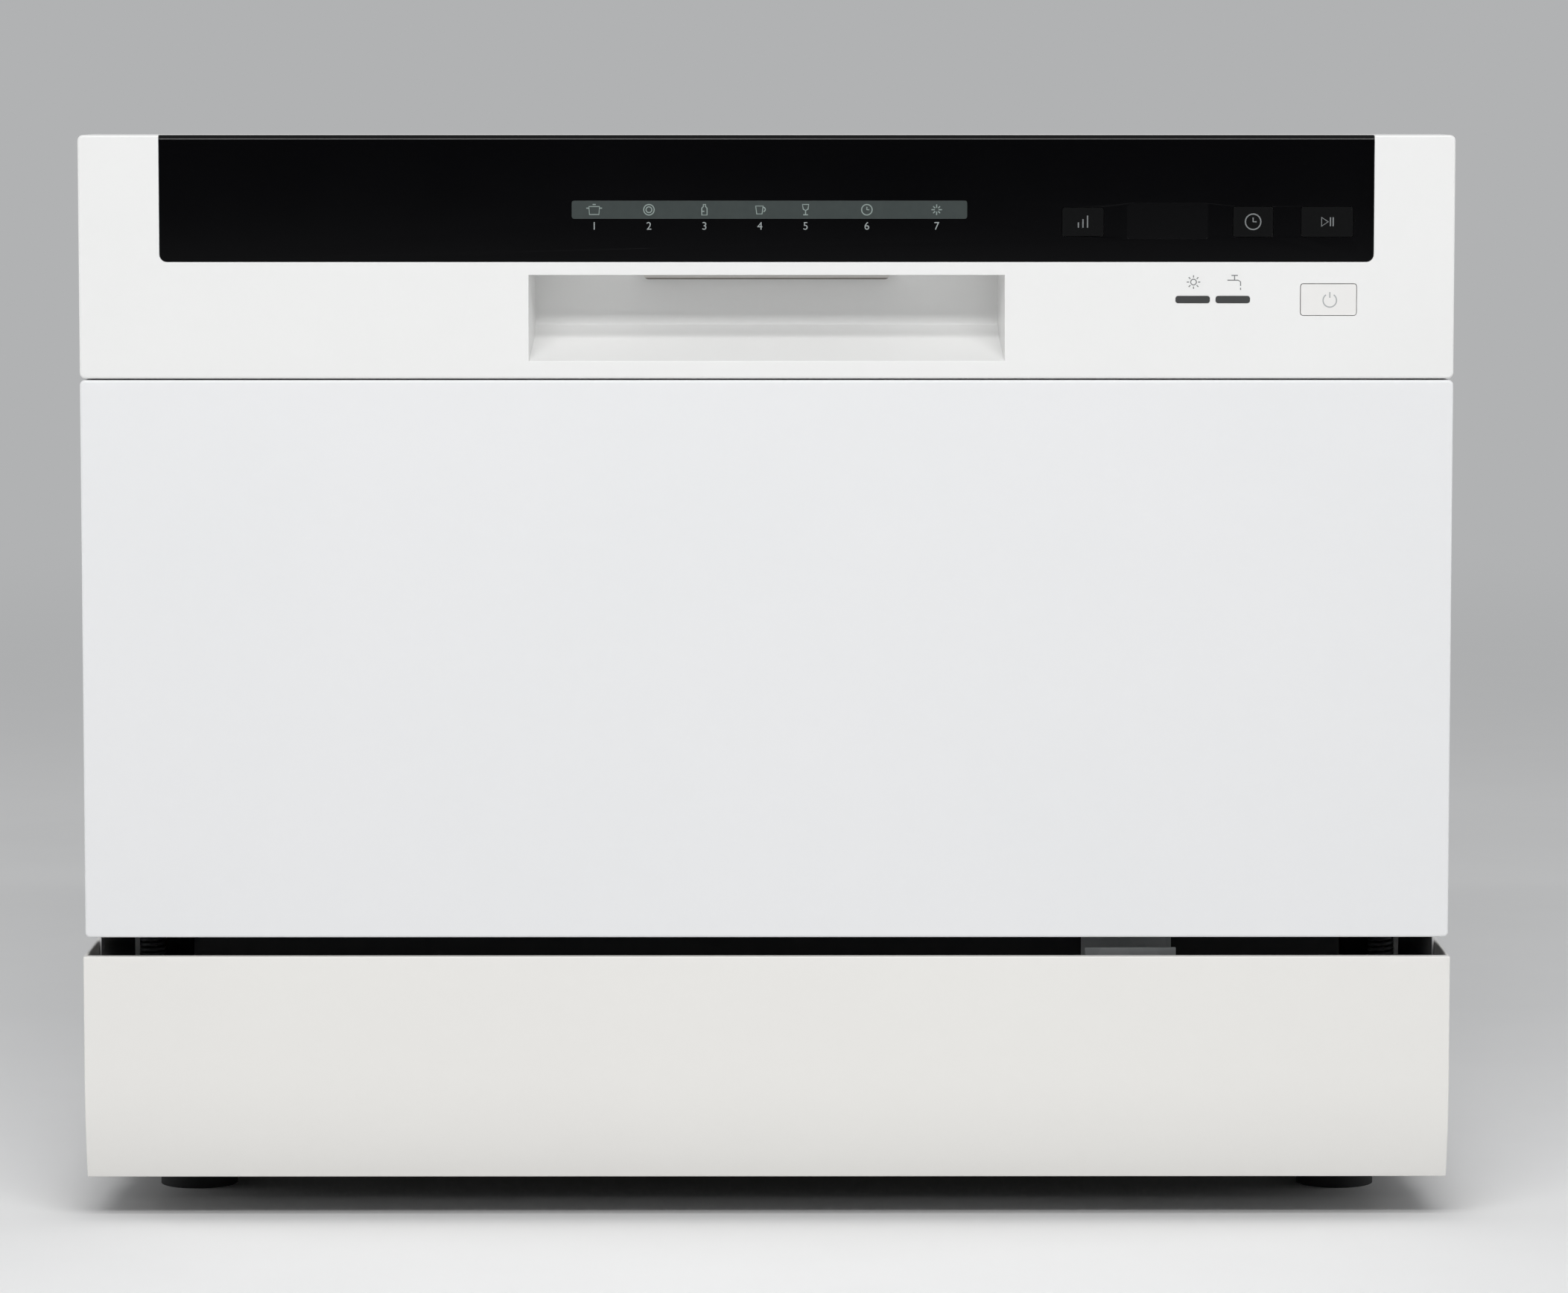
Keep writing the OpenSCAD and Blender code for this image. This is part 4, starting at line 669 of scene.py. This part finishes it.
# painted shadow: the lowest half millimetre is darkened for the shade under the paddle's lower edge
paddle_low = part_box("latch_lever")[0].z
painted_shadow_band = add(tree, "MapRange", {"Value": height.outputs["Z"], "From Min": paddle_low + 0.45 * MM,
                                "From Max": paddle_low + 0.7 * MM})
# the dark colour is painted shadow under the paddle's lower edge
tone = add(tree, "MixRGB", {"Fac": painted_shadow_band.outputs["Result"], "Color1": linear("#7d7872"),
                            "Color2": paddle_colour})
wire(shader, {"Base Color": tone.outputs["Color"]})
dress(acetal, "latch_lever", edge=0.2 * MM)
plated = finish("bright zinc plate", "#b3b7ba", "#c6c8c6", 9 * MM,
                {"Metallic": 1, "Roughness": 0.3}, detail=3)
dress(plated, "latch_hook", "latch_strike", "hinge_brackets", "hinge_arms", edge=0.25 * MM)
nylon = moulded("black glass-filled nylon", "#26282a", "#2f3133", 0.5, 0.9 * MM, 0.02 * MM)
dress(nylon, "latch_housing", "cord_gland", edge=0.4 * MM)


# ---------------------------------------------------------------- tub
# Deep-drawn and seam-welded from 430 stainless steel. Its corners are wide where the metal
# was drawn, and the rolled finish leaves fine lines that blur every reflection one way.
def stainless_steel(name, low, high, stretch, roughness):
    """Stainless sheet whose rolling lines run along the axis that is stretched least"""
    metal, tree, shader, where = start(name)
    squeezed = add(tree, "Mapping", {"Vector": where, "Scale": stretch})
    # rolling lines about 0.5 mm apart
    lines = add(tree, "TexNoise", {"Vector": squeezed.outputs["Vector"], "Scale": 1 / (0.5 * MM),
                                   "Detail": 3})
    water = add(tree, "TexNoise", {"Vector": where, "Scale": 1 / (55 * MM), "Detail": 2})
    tone = add(tree, "MixRGB", {"Fac": water.outputs["Fac"], "Color1": linear(low),
                                "Color2": linear(high)})
    gloss = add(tree, "MapRange", {"Value": lines.outputs["Fac"], "From Min": 0.3, "From Max": 0.7,
                                   "To Min": roughness - 0.05, "To Max": roughness + 0.06})
    relief = add(tree, "Bump", {"Height": lines.outputs["Fac"], "Distance": 0.004 * MM,
                                "Strength": 0.4})
    wire(shader, {"Base Color": tone.outputs["Color"], "Metallic": 1,
                  "Roughness": gloss.outputs["Result"], "Normal": relief.outputs["Normal"]})
    return metal


def quarter(steps):
    """Angles from nought to a right angle"""
    return [math.radians(90 * k / steps) for k in range(steps + 1)]


tub_steel = stainless_steel("rolled stainless steel tub", "#d2d4d5", "#d9dadb", (1, 0.03, 1), 0.3)
tub_w, tub_low, tub_high = 235 * MM, 157.2 * MM, 410.5 * MM
tub_front, tub_back = -203 * MM, 188 * MM
rim_w, rim_low, rim_high = 246 * MM, 124 * MM, 420.5 * MM
wall_t, roll, back_r = 1 * MM, 3 * MM, 20 * MM


def tub_ring(grow, y):
    """The tub's section, with tight corners at the floor and wide ones at the ceiling"""
    half_w, low, high = tub_w + grow, tub_low - grow, tub_high + grow
    tight, wide = max(6 * MM + grow, 1 * MM), max(22 * MM + grow, 4 * MM)
    return [(x, y, z) for x, z in corner(half_w - wide, high - wide, wide, 0)
            + corner(wide - half_w, high - wide, wide, 90)
            + corner(tight - half_w, low + tight, tight, 180)
            + corner(half_w - tight, low + tight, tight, 270)]


rings = [rounded(rim_w, rim_low, rim_high, 8 * MM, tub_front, steps=6)]
rings += [tub_ring(roll * (1 - math.sin(a)), tub_front + roll * (1 - math.cos(a)))
          for a in quarter(4)]
rings += [tub_ring(-back_r * (1 - math.cos(a)), tub_back - back_r + back_r * math.sin(a))
          for a in quarter(6)]
bm = bmesh.new()
loft(bm, rings, ends=(False, True))
tub_shell = mesh_object("tub_shell", bm, tub_steel)
shell(tub_shell, wall_t)
# room for the basin, which is drawn down out of the floor
basin_hw, basin_front, basin_back, basin_floor = 208 * MM, -189 * MM, 182 * MM, 132.2 * MM


def basin_ring(grow, z):
    r = 25 * MM + grow
    x, near, far = basin_hw + grow - r, basin_front - grow + r, basin_back + grow - r
    middles = ((x, far, 0), (-x, far, 90), (-x, near, 180), (x, near, 270))
    return [(px, py, z) for cx, cy, first in middles for px, py in corner(cx, cy, r, first)]


bm = bmesh.new()
loft(bm, [basin_ring(roll, z) for z in (tub_low - 9 * MM, tub_low + 1 * MM)], ends=(True, True))
combine(tub_shell, bm)
floor_r = 8 * MM
rings = [basin_ring(roll * (1 - math.sin(a)), tub_low - roll * (1 - math.cos(a)))
         for a in quarter(4)]
rings += [basin_ring(-floor_r * (1 - math.cos(a)), basin_floor + floor_r - floor_r * math.sin(a))
          for a in quarter(5)]
bm = bmesh.new()
loft(bm, rings, ends=(False, True))
basin = mesh_object("basin", bm, tub_steel)
shell(basin, wall_t)
# holes for the sump, the spray arm's post and the float, as [x, y, radius] in millimetres
holes = bmesh.new()
for x, y, r in ((88, -69.5, 41), (0, -7.5, 12), (-165, -155, 6)):
    loft(holes, [[((x + r * math.cos(a)) * MM, (y + r * math.sin(a)) * MM, z)
                  for a in ring_turns(48)]
                 for z in (basin_floor - 4 * MM, basin_floor + 4 * MM)], ends=(True, True))
combine(basin, holes)


def joined(name, material, *parts):
    """One object from the meshes of several"""
    bm = bmesh.new()
    for part in parts:
        bm.from_mesh(part.data)
        bpy.data.objects.remove(part)
    return mesh_object(name, bm, material)


ride_as(joined("tub_steel", tub_steel, tub_shell, basin), "cabinet", "stainless", "tub")


# ---------------------------------------------------------------- front frame and gasket
# The frame is galvanised too, and passivated to a dull chalky grey. The gasket is extruded
# EPDM rubber: dark, matt and a little dusty, with a hollow bulb that bulges to the door.
dull_zinc = galvanise("passivated galvanised frame", "#c3c6c7", "#ced0d1", 8 * MM,
                      {"Metallic": 0.35})
dress(dull_zinc, "front_frame", edge=0.2 * MM)
rubber = finish("black EPDM rubber", "#1b1c1d", "#2b2c2d", 14 * MM,
                {"Roughness": 0.72, "IOR": 1.5, "Specular IOR Level": 0.35}, detail=4,
                grain=0.7 * MM, depth=0.03 * MM)
lo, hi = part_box("door_seal")
bulb_r, lip_r, bend_at, seal_low = 4 * MM, 0.9 * MM, 16 * MM, 152 * MM
middle, bulb_y, lip_y, top = hi.x - bulb_r, (lo.y + hi.y) / 2, lo.y + 1.2 * MM, hi.z - bulb_r


def seal_line(shift, y, low):
    """Up one side of the opening, across its top and down the other side"""
    x, z = middle + shift, top + shift
    return bend([(x, y, low), (x, y, z), (-x, y, z), (-x, y, low)], bend_at + shift)


bm = bmesh.new()
tube(bm, seal_line(0, bulb_y, seal_low), bulb_r - 0.1 * MM, sides=14, flat=0.8, up=(0, 1, 0))
# two thin lips run along the bulb
for shift in (-2.6 * MM, 2.6 * MM):
    tube(bm, seal_line(shift, lip_y, seal_low + 1 * MM), lip_r, sides=8)
sill_w, sill_y, sill_z = 236 * MM, -204.6 * MM, 144.5 * MM
tube(bm, [(-sill_w, sill_y, sill_z), (sill_w, sill_y, sill_z)], bulb_r, sides=12, flat=0.36,
     up=(0, 1, 0))
ride_as(mesh_object("door_gasket", bm, rubber), "cabinet", "black_rubber", "door_seal")
dress(rubber, "rubber_feet", edge=0.8 * MM)


# ---------------------------------------------------------------- door liner
# A stainless pan pressed with soft edges and one stiffening bead, screwed to the door. Its
# rolling lines run across, so lamps draw out into upright streaks on it.
liner_steel = stainless_steel("rolled stainless steel liner", "#cccecf", "#d4d5d6",
                              (0.03, 1, 1), 0.3)
wide, low, high, face_y = liner_hi.x, liner_lo.z, liner_hi.z, liner_hi.y
edge, skirt_y, bead_in = 6 * MM, face_y - 22 * MM, 40 * MM


def liner_ring(inset, y, radius):
    return rounded(wide - inset, low + inset, high - inset, radius, y)


rings = [liner_ring(0, skirt_y, edge)]
rings += [liner_ring(edge * (1 - math.cos(a)), face_y - edge + edge * math.sin(a), edge)
          for a in quarter(5)]
# the bead, as how far in and how deep in millimetres
rings += [liner_ring(bead_in + inset * MM, face_y - drop * MM, (18 - inset) * MM) for inset, drop
          in ((0, 0), (0.6, 0.3), (1.8, 1.1), (3.2, 1.3), (4.6, 1.1), (5.8, 0.3), (6.4, 0))]
bm = bmesh.new()
loft(bm, rings, ends=(False, True))
liner = mesh_object("liner_pan", bm, liner_steel)
shell(liner, -skin_t)
# openings for the dispenser, the fascia's lower edge and the latch hook
carve(liner, ((-80 * MM, face_y - 9 * MM, 204.5 * MM), (80 * MM, face_y + beyond, 296.5 * MM)),
      ((-wide - beyond, skirt_y - 8 * MM, high - 60 * MM),
       (wide + beyond, face_y - 2.5 * MM, high + beyond)),
      ((-8 * MM, face_y - 3.2 * MM, 414.5 * MM), (8 * MM, face_y + beyond, high + 2 * MM)))
ride_as(liner, "door", "stainless", "door_liner")


# ---------------------------------------------------------------- dispenser
# Body in pale grey polypropylene, its sliding lid in white and the turned rinse-aid cap in
# dark grey. Polypropylene is slightly waxy, so its highlights are broad and soft.
pale_pp = moulded("pale grey polypropylene", "#c3c6c8", "#cccfd0", 0.42)
white_pp = moulded("white polypropylene", "#dfe0df", "#e5e6e5", 0.42)
dark_pp = moulded("dark grey polypropylene", "#2d3032", "#383b3d", 0.46, 1.1 * MM, 0.02 * MM)
black_pp = moulded("black polypropylene", "#121314", "#191a1b", 0.5, 1.1 * MM, 0.02 * MM)
dress(pale_pp, "dispenser_body", "air_break", "inlet_valve", edge=0.8 * MM)
dress(white_pp, "dispenser_lid", "wash_pump_rotor", "drain_pump_rotor", edge=0.4 * MM)
dress(black_pp, "base_tray", edge=0.5 * MM)
dress(dark_pp, "rinse_aid_cap", "sump", "wash_pump_housing", "drain_pump", "drain_spigot",
      edge=0.5 * MM)


# ---------------------------------------------------------------- rack
# Drawn steel wire, welded at every crossing and dipped in grey-blue nylon powder, which
# fuses to an even satin coat that is slightly thicker in the corners.
nylon_coat = finish("grey-blue nylon coating", "#8d99a3", "#99a4ad", 6 * MM,
                    {"Roughness": 0.38, "IOR": 1.53}, depth=0.12 * MM, strength=0.4)
wire_xs = [(i - 8) * 25 * MM for i in range(17)]
floor_z, rim_z, wire_r, rim_r, thin_r = 176 * MM, 258 * MM, 1.75 * MM, 2 * MM, 1.5 * MM
under_z = 172.22 * MM
rack_front, rack_rear = -146 * MM, 172 * MM
rim_x, rim_front, rim_rear = 223.6 * MM, -197.6 * MM, 179.6 * MM
bm = bmesh.new()
tube(bm, bend([(-rim_x, rim_front, rim_z), (rim_x, rim_front, rim_z), (rim_x, rim_rear, rim_z),
               (-rim_x, rim_rear, rim_z)], 20 * MM, closed=True), rim_r, closed=True)
for x in wire_xs:
    tube(bm, bend([(x, rack_front - 48 * MM, rim_z), (x, rack_front, floor_z),
                   (x, rack_rear, floor_z), (x, rack_rear + 4 * MM, rim_z)], 7 * MM, steps=4),
         wire_r, sides=8)
cross_x, cross_ys = 208.3 * MM, (-140, 164, 8.5, -95, 112)
for y in cross_ys:
    tube(bm, [(-cross_x, y * MM, under_z), (cross_x, y * MM, under_z)], rim_r, sides=8)
side_wires, side_z = 7, under_z + 0.3 * MM
for i in range(side_wires):
    y = rack_front + 26 * MM + i * (rack_rear - rack_front - 46 * MM) / (side_wires - 1)
    for side in (-1, 1):
        tube(bm, bend([(side * 196 * MM, y, side_z), (side * 204 * MM, y, side_z),
                       (side * 220 * MM, y, rim_z)], 3 * MM, steps=3), thin_r, sides=8)
ride_as(mesh_object("rack_basket", bm, nylon_coat), "rack", "coated_wire", "rack_wires")
# each tine is bent up from a short foot on its floor wire
bm = bmesh.new()
foot_z, last_tine_x = floor_z + wire_r + thin_r, 106 * MM
for y in (-46, 34, 114):
    for x in wire_xs:
        if x < last_tine_x:
            tube(bm, bend([(x, (y - 12) * MM, foot_z), (x, y * MM, foot_z),
                           (x, (y + 9) * MM, floor_z + 62 * MM)], 5 * MM, steps=4), thin_r, sides=8)
ride_as(mesh_object("plate_tines", bm, nylon_coat), "rack", "coated_wire", "rack_tines")


# ---------------------------------------------------------------- cup shelf
# A ladder of the same coated wire. Its outer wire and both ends are one length, bent at the
# corners, and the cross wires are welded between it and the shaft it folds on.
lo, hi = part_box("cup_shelf")
shaft_x, shelf_z, out_x, spacings = -210 * MM, 265 * MM, hi.x - 2 * MM, 8
near, far, weld_x = lo.y + 4 * MM, hi.y - 4 * MM, shaft_x + 2.6 * MM
bm = bmesh.new()
tube(bm, [(shaft_x, lo.y + 0.5 * MM, shelf_z), (shaft_x, hi.y - 0.5 * MM, shelf_z)], rim_r)
tube(bm, bend([(weld_x, near, shelf_z), (out_x, near, shelf_z), (out_x, far, shelf_z),
               (weld_x, far, shelf_z)], 9 * MM), 1.6 * MM)
for i in range(1, spacings):
    y = near + i * (far - near) / spacings
    tube(bm, [(weld_x, y, shelf_z), (out_x - 1.5 * MM, y, shelf_z)], 1.4 * MM, sides=8)
ride_as(mesh_object("cup_shelf_wires", bm, nylon_coat), "cup_shelf", "coated_wire", "cup_shelf")


# ---------------------------------------------------------------- basket, clips and wheels
# All injection-moulded polypropylene and acetal in a cool mid-grey, with eased rims.
grey_pp = moulded("mid-grey polypropylene", "#82888c", "#8e9498", 0.44)
wheel_acetal = moulded("grey acetal wheels", "#777d81", "#858b8f", 0.36)
dress(grey_pp, "cutlery_basket", "rack_clips", edge=0.5 * MM)
dress(wheel_acetal, "wheel_front_left", "wheel_front_right", "wheel_rear_left",
      "wheel_rear_right", edge=0.9 * MM)


# ---------------------------------------------------------------- spray arm
# Two blow-moulded polypropylene blades on a snap-on hub, thin at the edges and full in the
# middle. Raised seats carry the slotted nozzles, turned a little so that the arm spins.
arm_y, arm_z, arm_l = -7.5 * MM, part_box("spray_arm")[0].z, 178 * MM
turn = math.radians(25)
spray_pp = moulded("grey spray-arm polypropylene", "#6f757a", "#7c8286", 0.4)


def placed(x, y, z):
    """A point given along the arm, turned to where the arm rests"""
    return (x * math.cos(turn) - y * math.sin(turn),
            arm_y + x * math.sin(turn) + y * math.cos(turn), arm_z + z)


def lathe(bm, profile, at=(0, 0, 0), sides=28, stretch=1):
    """Turned shape from (radius, height) in millimetres, which can be squeezed to an oval"""
    x, y, z = at
    loft(bm, [[placed(x + r * MM * math.cos(a), y + r * MM * stretch * math.sin(a), z + h * MM)
               for a in ring_turns(sides)] for r, h in profile], ends=(True, True))


def bulge(value):
    """Squares a sine or cosine up a little, so that an oval fills out"""
    return math.copysign(abs(value) ** 0.75, value)


half_stations = [0.2, 0.45, 0.7, 0.9, 0.95, 0.985, 1]
rings = []
for s in [-s for s in half_stations[::-1]] + [0] + half_stations:
    reach = abs(s)
    tip = math.sqrt(max(1 - max(0, (reach - 0.92) / 0.08) ** 2, 0.004))
    mid_z = (5 - 1.5 * reach) * MM
    half_w, half_h = (19.5 - 5.5 * reach) * MM * tip, mid_z * (0.35 + 0.65 * tip)
    rings.append([placed(s * arm_l, half_w * bulge(math.cos(a)),
                         mid_z + half_h * bulge(math.sin(a))) for a in ring_turns(24, 0.5)])
bm = bmesh.new()
loft(bm, rings, ends=(True, True))
arm = mesh_object("spray_blades", bm, spray_pp)
bm = bmesh.new()
lathe(bm, [(23, 0), (25, 1.5), (25, 9), (23.5, 11.4), (21, 12)], sides=48)
combine(arm, bm, "UNION")
bm = bmesh.new()
lathe(bm, [(8.05, -2), (8.05, 14)], sides=32)
combine(arm, bm)
bm = bmesh.new()
for side in (-1, 1):
    for i in range(5):
        x, y = side * (40 + i * 29) * MM, side * (5 - 10 * (i % 2)) * MM
        seat_z = (8.4 - 3 * abs(x) / arm_l) * MM
        # a domed seat with a slot across its top
        lathe(bm, [(4.6, 0), (4.2, 1.4), (3, 2.3), (2.2, 2.5), (1.9, 1.5)], (x, y, seat_z),
              stretch=0.72)
arm = joined("spray_arm_body", spray_pp, arm, mesh_object("spray_nozzles", bm, spray_pp))
ease(arm, 0.4 * MM)
ride_as(arm, "spray_arm", "grey_plastic", "spray_arm")
dress(spray_pp, "spray_arm_post", edge=0.6 * MM)


# ---------------------------------------------------------------- filter
# The plate is etched with rows of fine holes, and the cup under it is moulded with a woven
# stainless mesh round it. Both read as a fine dark dotting on grey.
sieve, tree, shader, where = start("perforated stainless steel")
# holes 1.2 mm across every 3 mm, drawn coarser than the real 0.9 mm ones
cells = add(tree, "TexVoronoi", {"Vector": where, "Scale": 1 / (3 * MM), "Randomness": 0},
            voronoi_dimensions="2D")
hole = add(tree, "MapRange", {"Value": cells.outputs["Distance"], "From Min": 0.19,
                              "From Max": 0.23})
tone = add(tree, "MixRGB", {"Fac": hole.outputs["Result"], "Color1": linear("#101112"),
                            "Color2": linear("#bfc1c3")})
metal = add(tree, "MapRange", {"Value": hole.outputs["Result"], "To Min": 0.2, "To Max": 1})
wire(shader, {"Base Color": tone.outputs["Color"], "Metallic": metal.outputs["Result"],
              "Roughness": 0.3})
dress(sieve, "fine_filter_plate", edge=0.2 * MM)
cup_mesh, tree, shader, where = start("moulded filter cup with woven mesh")
weave = add(tree, "TexVoronoi", {"Vector": where, "Scale": 1 / (1.6 * MM), "Randomness": 0})
opening = add(tree, "MapRange", {"Value": weave.outputs["Distance"], "From Min": 0.28,
                                 "From Max": 0.4})
height = add(tree, "SeparateXYZ", {"Vector": where})
# below the flange the cup is mesh; its flange and grip are plain
plain = add(tree, "Math", {0: height.outputs["Z"], 1: 131 * MM}, operation="GREATER_THAN")
mask = add(tree, "Math", {0: opening.outputs["Result"], 1: plain.outputs["Value"]},
           operation="MAXIMUM")
tone = add(tree, "MixRGB", {"Fac": mask.outputs["Value"], "Color1": linear("#2a2c2e"),
                            "Color2": linear("#8b9196")})
wire(shader, {"Base Color": tone.outputs["Color"], "Roughness": 0.42, "IOR": 1.5})
dress(cup_mesh, "filter_cup", edge=0.5 * MM)
dress(white_pp, "float", edge=0.8 * MM)


# ---------------------------------------------------------------- springs and screws
# Close-wound music wire, phosphated black so that it is hidden in the gap under the door.
# The screws are plated steel pan heads with a cross recess.
black_wire = finish("phosphated spring steel", "#202122", "#303133", 2 * MM,
                    {"Metallic": 0.6, "Roughness": 0.5}, detail=3)
lo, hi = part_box("balance_springs")
spring_x, spring_y, coil_r, music_r = 251.75 * MM, -200 * MM, 4.6 * MM, 0.85 * MM
coil_low, coil_high, turns, per_turn = 53.5 * MM, 116 * MM, 30, 14
pitch, hook_x, tie_x = (coil_high - coil_low) / turns, coil_r * 0.7, 2.6 * MM
bm = bmesh.new()
for side in (-1, 1):
    coil = [(coil_r * math.cos(a), coil_r * math.sin(a), coil_low + pitch * a / (2 * math.pi))
            for a in (2 * math.pi * k / per_turn for k in range(per_turn * turns + 1))]
    below = [(0, 0, lo.z + 1 * MM), (0, 0, coil_low - 3 * MM), (hook_x, 0, coil_low - 1 * MM)]
    above = [(hook_x, 0, coil_high + 1 * MM), (side * tie_x, 0, coil_high + 3 * MM),
             (side * tie_x, 0, hi.z - 1 * MM)]
    tube(bm, [(side * spring_x + x, spring_y + y, z) for x, y, z in below + coil + above],
         music_r, sides=7)
ride_as(mesh_object("coil_springs", bm, black_wire), "cabinet", "bright_steel", "balance_springs")


def screw_head(bm, at, radius, height):
    """A pan head that faces +Y, domed, with a cross recess"""
    x, y, z = at
    arm, half = 0.5, 0.13
    cross = [(arm, half), (half, half), (half, arm), (-half, arm), (-half, half), (-arm, half)]
    cross += [(-px, -pz) for px, pz in cross]
    middles = [tuple((a + b) / 2 for a, b in zip(p, q))
               for p, q in zip(cross, cross[1:] + cross[:1])]
    cross = [p for pair in zip(cross, middles) for p in pair]
    first = math.atan2(half, arm)
    dome = [(1, 0), (1, 0.35), (0.93, 0.7), (0.78, 0.93), (0.66, 1)]
    rings = [[(x + radius * r * math.cos(a + first), y + height * h,
               z + radius * r * math.sin(a + first)) for a in ring_turns(len(cross))]
             for r, h in dome]
    rings += [[(x + radius * scale * px, y + height * h, z + radius * scale * pz)
               for px, pz in cross] for scale, h in ((1, 1), (0.9, 0.3))]
    loft(bm, rings, ends=(True, True))


def screws(name, places, y, radius, height):
    """One object of like screws, at (x, z) in millimetres"""
    bm = bmesh.new()
    for x, z in places:
        screw_head(bm, (x * MM, y, z * MM), radius, height)
    return mesh_object(name, bm, plated)


rear_places = [(x, z) for x in (-263.6, 263.6) for z in (31.5, 224.75, 420)]
rear_places += [(-136.8, 420), (136.8, 420)]
liner_places = [(x, z) for x in (-231, 231) for z in (206, 276, 346)]
ride_as(screws("rear_screws", rear_places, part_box("cabinet_screws")[0].y, 3.5 * MM, 2.2 * MM),
        "cabinet", "bright_steel", "cabinet_screws")
ride_as(screws("liner_screws", liner_places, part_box("door_screws")[0].y, 3 * MM, 1.2 * MM),
        "door", "bright_steel", "door_screws")


# ---------------------------------------------------------------- mats and felt
# Bitumen sheet, softened and pressed on so that it sags a little into the steel: dull black
# with a mottled skin. The door is filled with a felt of grey recycled fibre.
bitumen = finish("bitumen sound mat", "#1a1a1a", "#2c2b2a", 7 * MM, {"Roughness": 0.8}, detail=4,
                 depth=0.5 * MM, strength=0.6)
dress(bitumen, "sound_mats", edge=0.8 * MM)
felt, tree, shader, where = start("grey fibre felt")
fibre = add(tree, "TexNoise", {"Vector": where, "Scale": 1 / (1.2 * MM), "Detail": 5,
                               "Distortion": 1.5})
tone = add(tree, "MixRGB", {"Fac": fibre.outputs["Fac"], "Color1": linear("#55575a"),
                            "Color2": linear("#83868a")})
bump = add(tree, "Bump", {"Height": fibre.outputs["Fac"], "Distance": 0.6 * MM, "Strength": 0.8})
wire(shader, {"Base Color": tone.outputs["Color"], "Roughness": 0.95, "Sheen Weight": 0.3,
              "Normal": bump.outputs["Normal"]})
dress(felt, "door_insulation", edge=0.8 * MM)


# ---------------------------------------------------------------- pumps, heater and hoses
# The motor is a stack of lamination steel in a painted case, the heater a tube of bright
# stainless steel, and the hoses are smooth black EPDM.
motor, tree, shader, where = start("motor laminations")
along = add(tree, "SeparateXYZ", {"Vector": where})
# sheets 0.5 mm thick, drawn at 1.6 mm
drawn_t = 1.6 * MM
sheets = add(tree, "Math", {0: along.outputs["X"], 1: drawn_t}, operation="PINGPONG")
groove = add(tree, "MapRange", {"Value": sheets.outputs["Value"], "From Max": drawn_t})
tone = add(tree, "MixRGB", {"Fac": groove.outputs["Result"], "Color1": linear("#585c60"),
                            "Color2": linear("#8a8e92")})
bump = add(tree, "Bump", {"Height": groove.outputs["Result"], "Distance": 0.2 * MM,
                          "Strength": 0.5})
wire(shader, {"Base Color": tone.outputs["Color"], "Metallic": 0.9, "Roughness": 0.42,
              "Normal": bump.outputs["Normal"]})
dress(motor, "wash_motor", edge=0.5 * MM)
heater_steel = stainless_steel("drawn stainless heater tube", "#b4b6b8", "#c2c4c5",
                               (1, 0.05, 1), 0.22)
dress(heater_steel, "water_heater", edge=0.4 * MM)
dress(rubber, "inner_hoses", edge=0)


# ---------------------------------------------------------------- circuit boards
# Glass-epoxy board under green solder mask, with tinned copper tracks. What stands on it is
# coloured by its height: black keys and relays, blue capacitors.
def board(name, axis, side, surface):
    """Board material: beyond its surface along one axis the parts are dark or blue"""
    fr4, tree, shader, where = start(name)
    place = add(tree, "SeparateXYZ", {"Vector": where})
    tracks = add(tree, "TexBrick", {"Vector": where, "Scale": 1 / (9 * MM), "Mortar Size": 0.05,
                                    "Color1": linear("#1f5b39"), "Color2": linear("#236541"),
                                    "Mortar": linear("#5d8f58")})
    above = add(tree, "Math", {0: place.outputs[axis], 1: surface}, operation=side)
    lots = add(tree, "TexNoise", {"Vector": where, "Scale": 1 / (30 * MM), "Detail": 0})
    choice = add(tree, "Math", {0: lots.outputs["Fac"], 1: 0.5}, operation="GREATER_THAN")
    parts = add(tree, "MixRGB", {"Fac": choice.outputs["Value"], "Color1": linear("#1b1c1e"),
                                 "Color2": linear("#24406a")})
    tone = add(tree, "MixRGB", {"Fac": above.outputs["Value"], "Color1": tracks.outputs["Color"],
                                "Color2": parts.outputs["Color"]})
    wire(shader, {"Base Color": tone.outputs["Color"], "Roughness": 0.35, "IOR": 1.55})
    return fr4


dress(board("power board", "Z", "GREATER_THAN", 27.7 * MM), "power_board", edge=0.3 * MM)
dress(board("control board", "Y", "LESS_THAN", -238.1 * MM), "control_board", edge=0.2 * MM)
